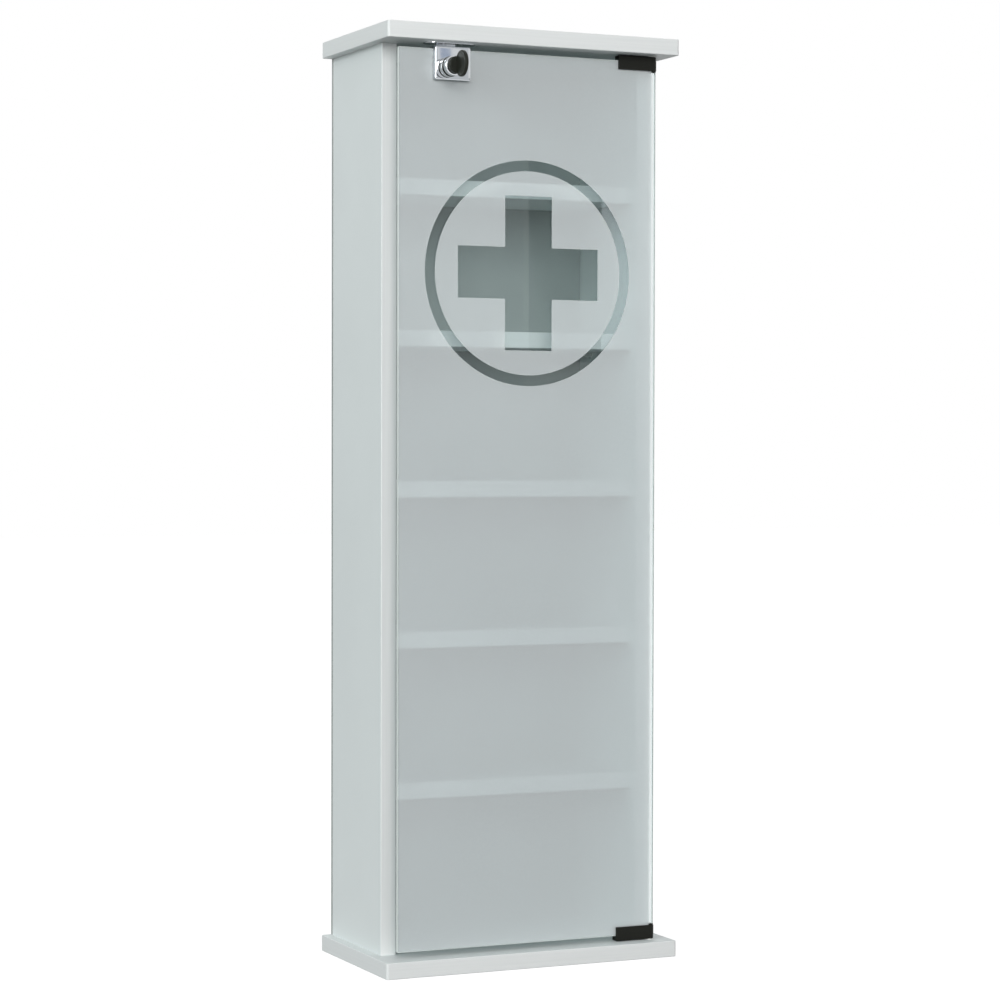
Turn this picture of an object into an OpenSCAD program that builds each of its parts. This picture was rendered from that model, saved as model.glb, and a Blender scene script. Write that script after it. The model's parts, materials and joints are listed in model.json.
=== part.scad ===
// Lockable medicine cabinet: a tall, narrow carcass of coated board with five
// shelves, closed by one frosted glass door on two pivot clamps and a clamp-on
// lock with its key. Millimetres. The origin is the middle of the underside of
// the bottom panel. +X is to the right of someone who faces the door, +Y goes
// to the wall and +Z up. The cabinet is drawn with the door shut and unlocked.

/* [Carcass] */
// Overall width of the top and bottom panels
cabinet_w = 313; // [240:1:400]
// Depth of the top and bottom panels, front to wall
cabinet_d = 175; // [150:1:260]
// Overall height
cabinet_h = 915; // [880:1:1200]
// Thickness of every coated board
board_t = 16; // [16:0.5:19]
// Radius of the upright corners of the top and bottom panels
board_corner_r = 2.5; // [1:0.5:6]
// Thickness of the hardboard back panel
back_t = 3; // [2.5:0.5:5]
// How far the back panel lies in from the rear of the top and bottom panels
back_recess = 0.8; // [0.8:0.1:2]
// How far the top and bottom panels stand out beyond each side panel
side_overhang = 10.5; // [6:0.5:16]
// How far the top and bottom panels stand out in front of the side panels
front_overhang = 41.5; // [38:0.5:50]

/* [Shelves] */
// Height of the underside of the lowest shelf
lowest_shelf_z = 165; // [120:0.5:190]
// Depth of the underside of the topmost shelf below the top panel
top_shelf_drop = 144; // [120:0.5:160]
// How far the shelves lie behind the front edges of the side panels
shelf_setback = 11.5; // [6:0.5:20]
// Gap between a shelf and the panels round it
shelf_gap = 0.5; // [0.3:0.1:1]
// Radius of a shelf pin's stud
pin_r = 2.5; // [2.3:0.1:3]
// Depth of a shelf pin's stud in the side panel
pin_depth = 9; // [7:0.5:11]
// Length of the tongue that carries the shelf
tongue_l = 8; // [6:0.5:12]
// Width and height of the tongue
tongue_w = 5; // [4:0.5:6]
// Distance of the shelf pins from the front and the back edge of a shelf
pin_inset = 25; // [15:1:40]

/* [Panel joints] */
// Radius of a wooden dowel
dowel_r = 4; // [3.5:0.25:5]
// Length of a wooden dowel
dowel_l = 30; // [25:1:40]
// Depth of a dowel or of a cam bolt in the top or bottom panel
joint_depth = 11; // [8:0.5:12]
// Distance of the dowels from the front and the back edge of a side panel
dowel_inset = 20; // [14:1:40]
// Radius of the cam that draws a joint tight
cam_r = 7.5; // [6:0.25:9]
// Depth of the cam in the side panel
cam_depth = 12.5; // [10:0.5:13]
// Distance of the cam's centre from the end of the side panel
cam_inset = 34; // [30:1:40]
// Radius of the cam bolt's shank
bolt_r = 3; // [2.5:0.1:3.5]
// Radius of the plastic cap over a cam
cap_r = 8.8; // [8:0.1:11]
// How far the cap stands out from the side panel
cap_t = 1; // [0.8:0.1:1.4]
// Number of nails down each side of the back panel
nail_count = 6; // [4:1:8]
// Length of a back panel nail
nail_l = 20; // [14:1:25]
// Radius of a nail's shank
nail_r = 0.7; // [0.6:0.05:1]
// Radius of a nail's head
nail_head_r = 2.4; // [1.8:0.1:3]
// Distance of the lowest nails above the bottom panel
nail_inset = 25; // [15:1:60]
// Distance of the highest nails below the hanger plates
nail_hanger_gap = 15; // [8:1:40]

/* [Wall hangers] */
// Width of a hanger plate
hanger_w = 13; // [12:0.5:14]
// Height of a hanger plate
hanger_h = 60; // [52:1:70]
// Thickness of a hanger plate
hanger_t = 2; // [1.5:0.1:2.5]
// Radius of the hole that goes over the wall screw's head
keyhole_r = 4.5; // [4.2:0.1:5]
// Radius of the slot that drops on to the wall screw
keyslot_r = 2.5; // [2:0.1:2.8]
// Height of the keyhole slot above its hole
keyslot_rise = 10; // [8:0.5:12]
// Distance of a hanger plate's middle below the top panel
hanger_drop = 50; // [45:1:120]
// Depth of the recess behind the keyhole
keyhole_depth = 9; // [7:0.5:12]

/* [Glass door] */
// Thickness of the glass
glass_t = 4; // [4:0.5:6]
// Width of the glass
door_w = 278; // [230:1:290]
// How far the door's middle lies to the right of the cabinet's middle
door_shift = 1; // [-4:0.5:4]
// Gap above and below the glass
door_gap = 5.5; // [5:0.5:8]
// How far the glass lies behind the front of the top panel
door_setback = 19; // [16:0.5:22]
// Radius of the glass's corners
glass_corner_r = 1.5; // [0.5:0.5:4]
// Thickness of the frosting film
film_t = 0.2; // [0.1:0.05:0.3]
// Width of the clear strip between the film and the glass's hinge edge
film_border = 3; // [2:0.5:6]
// Width of the clear strip along the film's other three edges
film_edge = 1; // [0.5:0.5:3]
// Height of the centre of the ring and cross
sign_z = 679.5; // [560:0.5:700]
// Outer diameter of the clear ring
ring_d = 220.5; // [180:0.5:230]
// Width of the clear ring
ring_band = 10.5; // [6:0.5:14]
// Length of each bar of the clear cross
cross_span = 151; // [100:1:160]
// Width of each bar of the clear cross
cross_bar = 50.4; // [30:0.2:60]

/* [Door pivots] */
// Length of a pivot clamp
clamp_l = 43; // [36:0.5:60]
// Thickness of a pivot clamp, over both jaws
clamp_t = 9.5; // [9.5:0.1:12]
// Height of the jaws, measured from the panel
clamp_h = 14.5; // [12:0.5:20]
// How much further the rounded end reaches than the jaws
knuckle_extra = 1.3; // [0.5:0.1:3]
// How far that taller end reaches to the left of the pivot
knuckle_reach = 1.3; // [0:0.1:3]
// Gap between a clamp and the panel next to it
clamp_gap = 0.8; // [0.7:0.1:1.2]
// How far a clamp's rounded end stands past the edge of the glass
clamp_past_glass = 0.5; // [0.2:0.1:1]
// Thickness of the rubber liner round the glass
liner_t = 0.6; // [0.4:0.1:0.8]
// Radius of a pivot pin
pivot_r = 2.5; // [2:0.1:3]
// Depth of a pivot pin in the panel
pivot_depth = 9; // [7:0.5:10]
// Running clearance round a pivot pin
pivot_clear = 0.05; // [0.03:0.01:0.08]
// Thickness of a bush's wall
bush_wall = 1.5; // [1:0.1:2]
// Thickness of a bush's flange
bush_flange_t = 0.6; // [0.4:0.1:0.6]
// Radius of a clamping screw
set_screw_r = 2; // [1.5:0.1:2.5]
// Distance of a pivot clamp's screws from its end and from the pivot
clamp_screw_inset = 10; // [7:0.5:16]

/* [Lock] */
// Distance of the lock's axis from the left edge of the glass
lock_inset = 47; // [40:0.5:80]
// Distance of the lock's axis below the top panel
lock_drop = 24.8; // [22:0.1:32]
// Width of the lock case
case_w = 37.5; // [36:0.5:50]
// Height of the lock case below the top panel
case_drop = 36; // [35:0.5:50]
// Distance of the lock's axis from the left side of the case
case_inset = 11.5; // [11:0.5:14]
// Thickness of the case in front of the glass
case_t = 6.2; // [6:0.1:9]
// Thickness of the case's front and side walls
case_wall = 1.4; // [1:0.1:1.6]
// Radius of the case's corners
case_corner_r = 2; // [1:0.5:4]
// Thickness of the strap over the glass
strap_t = 1.5; // [1:0.1:1.6]
// Gap between the strap and the glass
strap_gap = 0.3; // [0.2:0.1:0.5]
// Thickness of the case's rear jaw
jaw_t = 2.5; // [2:0.1:4]
// Height of the rear jaw, down from the top of the case
jaw_h = 24; // [18:0.5:30]
// Thickness of the pressure plate behind the glass
plate_t = 1.2; // [1:0.1:2]
// Distance between the lock's two clamping screws
lock_screw_gap = 22; // [12:0.5:26]
// Radius of the lock barrel
barrel_r = 10; // [9.2:0.1:11]
// Length of the lock barrel in front of the case
barrel_l = 21; // [20:0.5:32]
// Length of the barrel's flange against the case
flange_l = 3; // [2:0.5:5]
// Length of the barrel's nose, in front of its second groove
nose_l = 7.5; // [5:0.5:10]
// How much smaller the nose's radius is than the barrel's
nose_step = 0.5; // [0.3:0.1:1]
// Width of the two grooves round the barrel
groove_w = 1.5; // [0.8:0.1:2]
// Depth of the grooves round the barrel
groove_depth = 1.6; // [1:0.1:2]
// Radius of the barrel's neck in the case wall
neck_r = 7.5; // [7.2:0.1:8]
// Radius of the plug that the key turns
plug_r = 6; // [5.5:0.1:6.5]
// Running clearance of the plug and the bolt
lock_clear = 0.1; // [0.05:0.01:0.1]
// Distance of the drive pin from the lock's axis
drive_r = 3.9; // [3.5:0.1:4.2]
// Radius of the drive pin
drive_pin_r = 1.2; // [1:0.1:1.5]
// Width of the bolt's head
bolt_head_w = 12; // [8:0.5:14]
// Thickness of the bolt
bolt_t = 2.2; // [1.8:0.1:2.2]
// Length of the strike plate
strike_l = 53; // [46:0.5:60]
// Width of the strike plate
strike_w = 19; // [18.5:0.1:20]
// Thickness of the strike plate
strike_t = 1.2; // [0.8:0.1:1.4]
// Thickness of the pad that the shut door rests on
pad_t = 0.7; // [0.5:0.1:1]
// Gap between that pad and the shut door
pad_gap = 0.3; // [0.2:0.1:0.4]

/* [Key] */
// Thickness of the key's blade
blade_t = 1.6; // [1.4:0.1:2]
// Width of the key's blade
blade_w = 7; // [5:0.5:7.5]
// Length of the blade in the lock
blade_l = 18; // [12:0.5:19]
// Radius of the key's hub
hub_r = 8.3; // [7:0.1:10]
// Length of the key's hub
hub_l = 5.5; // [4:0.5:8]
// Gap between the key's hub and the lock
hub_gap = 1; // [0.3:0.1:1.4]
// Radius of the key's round head
head_r = 12.6; // [10:0.1:16]
// Thickness of the key's round head
head_t = 2.8; // [2.6:0.1:4]
// How far the head's rear edge lies in the hub
head_sink = 2.7; // [1:0.1:3.5]
// Height of the rim round the key's head
rim_h = 0.3; // [0.2:0.1:1]
// Width of that rim
rim_w = 2; // [1:0.1:3]

/* [Hidden] */
$fn = 64;

// A cut is drawn this much longer than what it goes through
over = 1;

// Colours of the finishes
board_white = "#dde1df";
back_grey = "#c9cecb";
clamp_black = "#21221d";
chrome_grey = "#c8ccd0";
steel_grey = "#9ea2a5";
rubber_grey = "#4a4b4a";
wood_tan = "#c9a673";
nylon_white = "#e8e8e4";

// Planes of the carcass
front_y = -cabinet_d / 2;
back_y = cabinet_d / 2;
side_out_x = cabinet_w / 2 - side_overhang;
side_in_x = side_out_x - board_t;
side_mid_x = side_out_x - board_t / 2;
side_front_y = front_y + front_overhang;
side_back_y = back_y - back_recess - back_t;
floor_z = board_t;
ceiling_z = cabinet_h - board_t;

// Shelves
shelf_count = 5;
shelf_front_y = side_front_y + shelf_setback;
shelf_back_y = side_back_y - shelf_gap;
pin_ys = [shelf_front_y + pin_inset, shelf_back_y - pin_inset];
collar_r = pin_r + 1;
collar_t = 1;
shelf_pitch = (ceiling_z - top_shelf_drop - lowest_shelf_z) / (shelf_count - 1);
function shelf_z(level) = lowest_shelf_z + (level - 1) * shelf_pitch;

// Panel joints: a dowel at each edge and a cam in the middle of each side
// panel's end, which leaves its rear edge free for the nails
dowel_ys = [side_front_y + dowel_inset, side_back_y - dowel_inset];
cam_y = (dowel_ys[0] + dowel_ys[1]) / 2;
joint_clear = 0.1;
bolt_tip_r = bolt_r - 0.5;
bolt_bore_r = bolt_r + 0.5;
cam_slot_d = 3;
cam_slot_w = 2;

// Nails: evenly spaced, clear of both ends and of the hanger plates
nail_low_z = floor_z + nail_inset;
nail_high_z = ceiling_z - hanger_drop - hanger_h / 2 - nail_hanger_gap;
nail_head_t = 0.8;

// Hanger plates: the notch leaves the back panel clear of the plate
hanger_z = ceiling_z - hanger_drop;
hanger_y = side_back_y;
hanger_clear = 0.5;
hanger_screw_r = 1.75;
hanger_screw_l = 16;
hanger_screw_inset = 7;
hanger_hole_z = hanger_z - keyslot_rise / 2;
head_cone = 1.6;

// Door
glass_front_y = front_y + door_setback;
glass_back_y = glass_front_y + glass_t;
glass_mid_y = glass_front_y + glass_t / 2;
door_left_x = door_shift - door_w / 2;
door_right_x = door_shift + door_w / 2;
glass_low_z = floor_z + door_gap;
glass_high_z = ceiling_z - door_gap;
film_front_y = glass_front_y - film_t;

// Pivots: the clamp's end is round about the pivot's axis
pivot_x = door_right_x + clamp_past_glass - clamp_t / 2;
pivot_y = glass_mid_y;
clamp_left_x = door_right_x + clamp_past_glass - clamp_l;
liner_inset = 0.4;
slot_front_y = film_front_y - liner_t;
slot_back_y = glass_back_y + liner_t;
slot_end_z = glass_high_z + liner_t;
clamp_low_z = ceiling_z - clamp_h;
knuckle_low_z = clamp_low_z - knuckle_extra;
clamp_high_z = ceiling_z - clamp_gap;
bush_r = pivot_r + bush_wall;
bush_floor = 1;
clamp_screw_xs = [clamp_left_x + clamp_screw_inset, pivot_x - clamp_screw_inset];
clamp_screw_z = (clamp_low_z + glass_high_z) / 2;

// Lock: its case, from the front to the rear jaw
lock_x = door_left_x + lock_inset;
lock_z = ceiling_z - lock_drop;
case_left_x = lock_x - case_inset;
case_right_x = case_left_x + case_w;
case_mid_x = (case_left_x + case_right_x) / 2;
case_low_z = ceiling_z - case_drop;
strap_low_z = glass_high_z + strap_gap;
case_high_z = strap_low_z + strap_t;
case_back_y = film_front_y - liner_t;
case_front_y = case_back_y - case_t;
cover_t = 0.6;
cover_y = case_back_y - cover_t;
cover_margin = 1;
cavity_y = case_front_y + case_wall;
cavity_high_z = case_high_z - 3.4;
plate_y = glass_back_y;
jaw_front_y = plate_y + plate_t;
jaw_back_y = jaw_front_y + jaw_t;
jaw_low_z = case_high_z - jaw_h;
lock_screw_xs = [case_mid_x - lock_screw_gap / 2, case_mid_x + lock_screw_gap / 2];
plate_margin = 2;
plate_low_z = jaw_low_z + plate_margin;
plate_high_z = glass_high_z - plate_margin;
lock_screw_z = (plate_low_z + plate_high_z) / 2;

// Lock: barrel, clip, plug and bolt, from the front to the rear
barrel_front_y = case_front_y - barrel_l;
groove_ys = [barrel_front_y + nose_l, case_front_y - flange_l - groove_w];
nose_r = barrel_r - nose_step;
nose_bevel = 0.8;
clip_t = 0.8;
clip_y = cavity_y;
clip_r = neck_r + 1.8;
clip_groove = 0.7;
clip_mouth = 4;
neck_tail = clip_t;
neck_end_y = cavity_y + neck_tail;
cam_disc_y = neck_end_y + lock_clear;
cam_disc_t = 0.8;
cam_disc_r = plug_r + 1;
bolt_y = cam_disc_y + cam_disc_t + lock_clear;
drive_end_y = bolt_y + bolt_t - lock_clear;

// A quarter turn carries the drive pin from 45 degrees below the axis to 45
// degrees above it, on its left, and the bolt rises by the same amount
bolt_travel = 2 * drive_r * sin(45);
drive_x = lock_x - drive_r * cos(45);
drive_z = lock_z - drive_r * sin(45);
drive_play = 0.25;
bolt_head_x = case_mid_x - 1;
bolt_rim = 4;
bolt_shoulder = 1.5;
bolt_body_left_x = lock_x - drive_r - bolt_rim;
bolt_body_right_x = bolt_head_x + bolt_head_w / 2 + bolt_shoulder;
bolt_body_low_z = lock_z - drive_r - bolt_rim;
bolt_body_high_z = cavity_high_z - bolt_travel - 0.5;
bolt_tip_z = case_high_z - 0.3;

// Strike plate: over the bolt, with a lip behind the door that stops it
strike_mid_x = bolt_head_x;
strike_front_y = slot_front_y - 8.2;
strike_back_y = strike_front_y + strike_w;
strike_low_z = ceiling_z - strike_t;
lip_front_y = jaw_back_y + pad_gap + pad_t;
lip_l = 20;
lip_low_z = glass_high_z - 3;
mortise_play = 0.4;
mortise_high_z = bolt_tip_z + bolt_travel + 2;
strike_screw_r = 1.5;
strike_screw_l = 12;
strike_screw_y = bolt_y + bolt_t / 2;
strike_screw_dx = bolt_head_w / 2 + mortise_play + strike_screw_r + strike_t + 1.4;
strike_screw_xs = [strike_mid_x - strike_screw_dx, strike_mid_x + strike_screw_dx];

// Key
hub_back_y = barrel_front_y - hub_gap;
hub_front_y = hub_back_y - hub_l;
head_y = hub_front_y + head_sink - head_r;
keyway_clear = 0.15;
keyway_t = blade_t + 2 * keyway_clear;
keyway_w = blade_w + 2 * keyway_clear;
keyway_end = 1;
blade_front_y = head_y - 4;
blade_back_y = barrel_front_y + blade_l;

// ---- Shared shapes ----

// A box between two corners
module block(low, high) {
    translate(low) cube(high - low);
}

// A round bar along +Y from y0 to y1
module bar_y(x, z, r, y0, y1) {
    translate([x, y0, z]) rotate([-90, 0, 0]) cylinder(r = r, h = y1 - y0);
}

// A round bar along +X from x0 to x1
module bar_x(y, z, r, x0, x1) {
    translate([x0, y, z]) rotate([0, 90, 0]) cylinder(r = r, h = x1 - x0);
}

// A round bar along +Z from z0 to z1
module bar_z(x, y, r, z0, z1) {
    translate([x, y, z0]) cylinder(r = r, h = z1 - z0);
}

// A plate in the XZ plane with round corners, from y0 to y1
module round_plate(x0, x1, z0, z1, r, y0, y1) {
    translate([0, y1, 0]) rotate([90, 0, 0]) linear_extrude(y1 - y0) rounded(x0, x1, z0, z1, r);
}

// A rectangle with round corners
module rounded(x0, x1, y0, y1, r) {
    translate([x0 + r, y0]) square([x1 - x0 - 2 * r, y1 - y0]);
    translate([x0, y0 + r]) square([x1 - x0, y1 - y0 - 2 * r]);
    for (x = [x0 + r, x1 - r], y = [y0 + r, y1 - r]) translate([x, y]) circle(r);
}

// Whatever stands at the top of the cabinet, turned over to the bottom
module at_bottom() {
    translate([0, 0, cabinet_h]) mirror([0, 0, 1]) children();
}

// Whatever stands on the right, turned over to the left
module at_left() {
    mirror([1, 0, 0]) children();
}

// ---- Carcass ----

// The holes that every top or bottom panel has: dowels, cam bolts and the bush
module end_panel_bores() {
    for (side = [-1, 1]) {
        for (y = dowel_ys) bar_z(side * side_mid_x, y, dowel_r, ceiling_z - over, ceiling_z + joint_depth);
        bar_z(side * side_mid_x, cam_y, bolt_tip_r, ceiling_z - over, ceiling_z + joint_depth);
    }
    bar_z(pivot_x, pivot_y, bush_r, ceiling_z - over, ceiling_z + pivot_depth + bush_floor);
}

module end_panel() {
    difference() {
        translate([0, 0, ceiling_z]) linear_extrude(board_t)
            rounded(-cabinet_w / 2, cabinet_w / 2, front_y, back_y, board_corner_r);
        end_panel_bores();
    }
}

module top_panel() {
    color(board_white) difference() {
        end_panel();
        strike_mortise();
        for (x = strike_screw_xs)
            bar_z(x, strike_screw_y, strike_screw_r,
                  ceiling_z - over, ceiling_z + strike_screw_l - strike_t);
    }
}

module bottom_panel() {
    color(board_white) at_bottom() end_panel();
}

// The hole in the top panel that the bolt rises into
module strike_mortise() {
    block([bolt_head_x - bolt_head_w / 2 - mortise_play, bolt_y - mortise_play, strike_low_z - over],
          [bolt_head_x + bolt_head_w / 2 + mortise_play, bolt_y + bolt_t + mortise_play, mortise_high_z]);
}

// The joint bores in the upper end of a right-hand side panel
module side_end_bores() {
    for (y = dowel_ys)
        bar_z(side_mid_x, y, dowel_r, ceiling_z + joint_depth - dowel_l - joint_clear, ceiling_z + over);
    bar_z(side_mid_x, cam_y, bolt_bore_r, ceiling_z - cam_inset, ceiling_z + over);
    bar_x(cam_y, ceiling_z - cam_inset, cam_r, side_in_x - over, side_in_x + cam_depth);
}

module side_panel() {
    difference() {
        block([side_in_x, side_front_y, floor_z], [side_out_x, side_back_y, ceiling_z]);
        side_end_bores();
        at_bottom() side_end_bores();
        for (level = [1:shelf_count], y = pin_ys)
            bar_x(y, shelf_z(level) - tongue_w / 2, pin_r, side_in_x - over, side_in_x + pin_depth);
        for (i = [0:nail_count - 1])
            bar_y(side_mid_x, nail_z(i), nail_r, side_back_y - nail_l + back_t, side_back_y + over);
        hanger_recess();
    }
}

module right_side_panel() {
    color(board_white) side_panel();
}

module left_side_panel() {
    color(board_white) at_left() side_panel();
}

function nail_z(i) = nail_low_z + i * (nail_high_z - nail_low_z) / (nail_count - 1);

// Hardboard over the rear edges of the side panels, notched for the hangers
module back_panel() {
    color(back_grey) difference() {
        block([-side_out_x, side_back_y, floor_z], [side_out_x, side_back_y + back_t, ceiling_z]);
        for (side = [-1, 1]) {
            notch_x = side * (side_mid_x + board_t);
            translate([notch_x, side_back_y + back_t / 2, hanger_z])
                cube([2 * board_t + hanger_w + 2 * hanger_clear, back_t + 2 * over,
                      hanger_h + 2 * hanger_clear], center = true);
            for (i = [0:nail_count - 1])
                bar_y(side * side_mid_x, nail_z(i), nail_r,
                      side_back_y - over, side_back_y + back_t + over);
        }
    }
}

// ---- Shelves ----

module shelf(level) {
    color(board_white)
        block([-side_in_x + shelf_gap, shelf_front_y, shelf_z(level)],
              [side_in_x - shelf_gap, shelf_back_y, shelf_z(level) + board_t]);
}

module shelf_1() { shelf(1); }
module shelf_2() { shelf(2); }
module shelf_3() { shelf(3); }
module shelf_4() { shelf(4); }
module shelf_5() { shelf(5); }

// A stud in the side panel, a collar against it and a flat tongue
module shelf_pin(y, z) {
    axis_z = z - tongue_w / 2;
    bar_x(y, axis_z, pin_r, side_in_x - collar_t, side_in_x + pin_depth);
    intersection() {
        bar_x(y, axis_z, collar_r, side_in_x - collar_t, side_in_x);
        block([side_in_x - collar_t, y - collar_r, axis_z - collar_r], [side_in_x, y + collar_r, z]);
    }
    block([side_in_x - tongue_l, y - tongue_w / 2, z - tongue_w],
          [side_in_x - collar_t / 2, y + tongue_w / 2, z]);
}

module shelf_pins() {
    color(steel_grey)
        for (side = [0, 1], level = [1:shelf_count], y = pin_ys)
            mirror([side, 0, 0]) shelf_pin(y, shelf_z(level));
}

// ---- Panel joints ----

// Puts one upper right joint at all four corners
module at_four_corners() {
    for (flip = [0, 1], side = [0, 1])
        translate([0, 0, flip * cabinet_h]) mirror([0, 0, flip]) mirror([side, 0, 0]) children();
}

module wood_dowels() {
    color(wood_tan) at_four_corners()
        for (y = dowel_ys)
            bar_z(side_mid_x, y, dowel_r, ceiling_z + joint_depth - dowel_l, ceiling_z + joint_depth);
}

// Screwed into the end panel; its head hooks into the cam
module cam_bolts() {
    color(steel_grey) at_four_corners() {
        bar_z(side_mid_x, cam_y, bolt_tip_r, ceiling_z - over, ceiling_z + joint_depth);
        bar_z(side_mid_x, cam_y, bolt_r, ceiling_z - cam_inset + 2, ceiling_z);
    }
}

module cam_locks() {
    color(steel_grey) at_four_corners() difference() {
        bar_x(cam_y, ceiling_z - cam_inset, cam_r, side_in_x, side_in_x + cam_depth);
        bar_z(side_mid_x, cam_y, bolt_bore_r, ceiling_z - cam_inset, ceiling_z);
        for (turn = [0, 90])
            translate([side_in_x, cam_y, ceiling_z - cam_inset]) rotate([turn, 0, 0])
                cube([cam_slot_d, cam_slot_w, 1.4 * cam_r], center = true);
    }
}

// A thin disc over each cam, held by a small stem in the cam's cross slot
module cam_caps() {
    color(nylon_white) at_four_corners() {
        bar_x(cam_y, ceiling_z - cam_inset, cap_r, side_in_x - cap_t, side_in_x);
        bar_x(cam_y, ceiling_z - cam_inset, cam_slot_w / 2 - joint_clear,
              side_in_x - cap_t / 2, side_in_x + cam_slot_d / 2 - joint_clear);
    }
}

module back_nails() {
    color(steel_grey) for (side = [-1, 1], i = [0:nail_count - 1]) {
        bar_y(side * side_mid_x, nail_z(i), nail_r, side_back_y + back_t - nail_l, side_back_y + back_t);
        bar_y(side * side_mid_x, nail_z(i), nail_head_r,
              side_back_y + back_t, side_back_y + back_t + nail_head_t);
    }
}

// ---- Wall hangers ----

// The keyhole's outline, made wider by extra all round
module keyhole(extra, y0, y1) {
    bar_y(side_mid_x, hanger_hole_z, keyhole_r + extra, y0, y1);
    bar_y(side_mid_x, hanger_hole_z + keyslot_rise, keyslot_r + extra, y0, y1);
    block([side_mid_x - keyslot_r - extra, y0, hanger_hole_z],
          [side_mid_x + keyslot_r + extra, y1, hanger_hole_z + keyslot_rise]);
}

function hanger_screw_zs() = [hanger_z - hanger_h / 2 + hanger_screw_inset,
                              hanger_z + hanger_h / 2 - hanger_screw_inset];

// Room in the side panel for the wall screw's head and for the plate's screws
module hanger_recess() {
    bar_y(side_mid_x, hanger_hole_z, keyhole_r + 1, side_back_y - keyhole_depth, side_back_y + over);
    bar_y(side_mid_x, hanger_hole_z + keyslot_rise, keyhole_r + 1, side_back_y - keyhole_depth,
          side_back_y + over);
    block([side_mid_x - keyhole_r - 1, side_back_y - keyhole_depth, hanger_hole_z],
          [side_mid_x + keyhole_r + 1, side_back_y + over, hanger_hole_z + keyslot_rise]);
    for (z = hanger_screw_zs())
        bar_y(side_mid_x, z, hanger_screw_r, side_back_y + hanger_t - hanger_screw_l, side_back_y + over);
}

module hanger() {
    color(steel_grey) difference() {
        round_plate(side_mid_x - hanger_w / 2, side_mid_x + hanger_w / 2,
                    hanger_z - hanger_h / 2, hanger_z + hanger_h / 2, 3, hanger_y, hanger_y + hanger_t);
        keyhole(0, hanger_y - over, hanger_y + hanger_t + over);
        for (z = hanger_screw_zs()) countersunk_y(z);
    }
}

// A countersunk screw along -Y, its head flush with the hanger plate
module countersunk_y(z) {
    bar_y(side_mid_x, z, hanger_screw_r, hanger_y + hanger_t - hanger_screw_l, hanger_y + hanger_t);
    translate([side_mid_x, hanger_y + hanger_t - head_cone, z]) rotate([-90, 0, 0])
        cylinder(r1 = hanger_screw_r, r2 = hanger_screw_r + head_cone, h = head_cone);
}

module right_hanger() { hanger(); }
module left_hanger() { at_left() hanger(); }

// The cross recess in a screw's head, drawn about the origin and along +Z
module cross_recess(w, depth) {
    for (turn = [0, 90]) rotate(turn) cube([w, w / 4, 2 * depth], center = true);
}

module hanger_screws() {
    color(steel_grey) for (side = [0, 1], z = hanger_screw_zs()) mirror([side, 0, 0])
        difference() {
            countersunk_y(z);
            translate([side_mid_x, hanger_y + hanger_t, z]) rotate([90, 0, 0]) cross_recess(3.4, 1);
        }
}

// ---- Pivot bushes, strike plate and stop ----

// A flanged nylon bush, closed at its inner end
module bush() {
    color(nylon_white) difference() {
        union() {
            bar_z(pivot_x, pivot_y, bush_r,
                  ceiling_z - bush_flange_t, ceiling_z + pivot_depth + bush_floor);
            bar_z(pivot_x, pivot_y, bush_r + bush_flange_t, ceiling_z - bush_flange_t, ceiling_z);
        }
        bar_z(pivot_x, pivot_y, pivot_r + pivot_clear,
              ceiling_z - bush_flange_t - over, ceiling_z + pivot_depth);
    }
}

module top_bush() { bush(); }
module bottom_bush() { at_bottom() bush(); }

module strike_plate() {
    color(chrome_grey) difference() {
        union() {
            translate([0, 0, strike_low_z]) linear_extrude(strike_t)
                rounded(strike_mid_x - strike_l / 2, strike_mid_x + strike_l / 2,
                        strike_front_y, strike_back_y, strike_w / 2 - 0.5);
            block([strike_mid_x - lip_l / 2, lip_front_y, lip_low_z],
                  [strike_mid_x + lip_l / 2, lip_front_y + strike_t, strike_low_z + strike_t]);
        }
        strike_mortise();
        for (x = strike_screw_xs) strike_screw_shape(x);
    }
}

// A countersunk screw along +Z, its head flush with the strike plate
module strike_screw_shape(x) {
    bar_z(x, strike_screw_y, strike_screw_r, strike_low_z, strike_low_z + strike_screw_l);
    translate([x, strike_screw_y, strike_low_z])
        cylinder(r1 = strike_screw_r + strike_t, r2 = strike_screw_r, h = strike_t);
}

module strike_screws() {
    color(steel_grey) for (x = strike_screw_xs) difference() {
        strike_screw_shape(x);
        translate([x, strike_screw_y, strike_low_z]) cross_recess(3, 0.8);
    }
}

// The soft pad on the lip that the shut door's lock comes to rest on
module stop_pad() {
    color(rubber_grey)
        block([strike_mid_x - lip_l / 2 + 1, lip_front_y - pad_t, lip_low_z + 0.4],
              [strike_mid_x + lip_l / 2 - 1, lip_front_y, case_high_z]);
}

// ---- Glass door ----

module glass_door() {
    color("#a9c4bd", 0.4)
        round_plate(door_left_x, door_right_x, glass_low_z, glass_high_z, glass_corner_r,
                    glass_front_y, glass_back_y);
}

// The frosting, with a clear border, a clear ring and a clear cross
module frosted_film() {
    color("#c3c9ca") difference() {
        block([door_left_x + film_edge, film_front_y, glass_low_z + film_edge],
              [door_right_x - film_border, glass_front_y, glass_high_z - film_edge]);
        difference() {
            sign_bar(ring_d / 2);
            sign_bar(ring_d / 2 - ring_band);
        }
        for (size = [[cross_span, cross_bar], [cross_bar, cross_span]])
            translate([0, glass_front_y, sign_z])
                cube([size[0], 2 * film_t + over, size[1]], center = true);
    }
}

module sign_bar(r) {
    bar_y(0, sign_z, r, film_front_y - over, glass_front_y + over);
}

// ---- Pivot clamps ----

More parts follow.
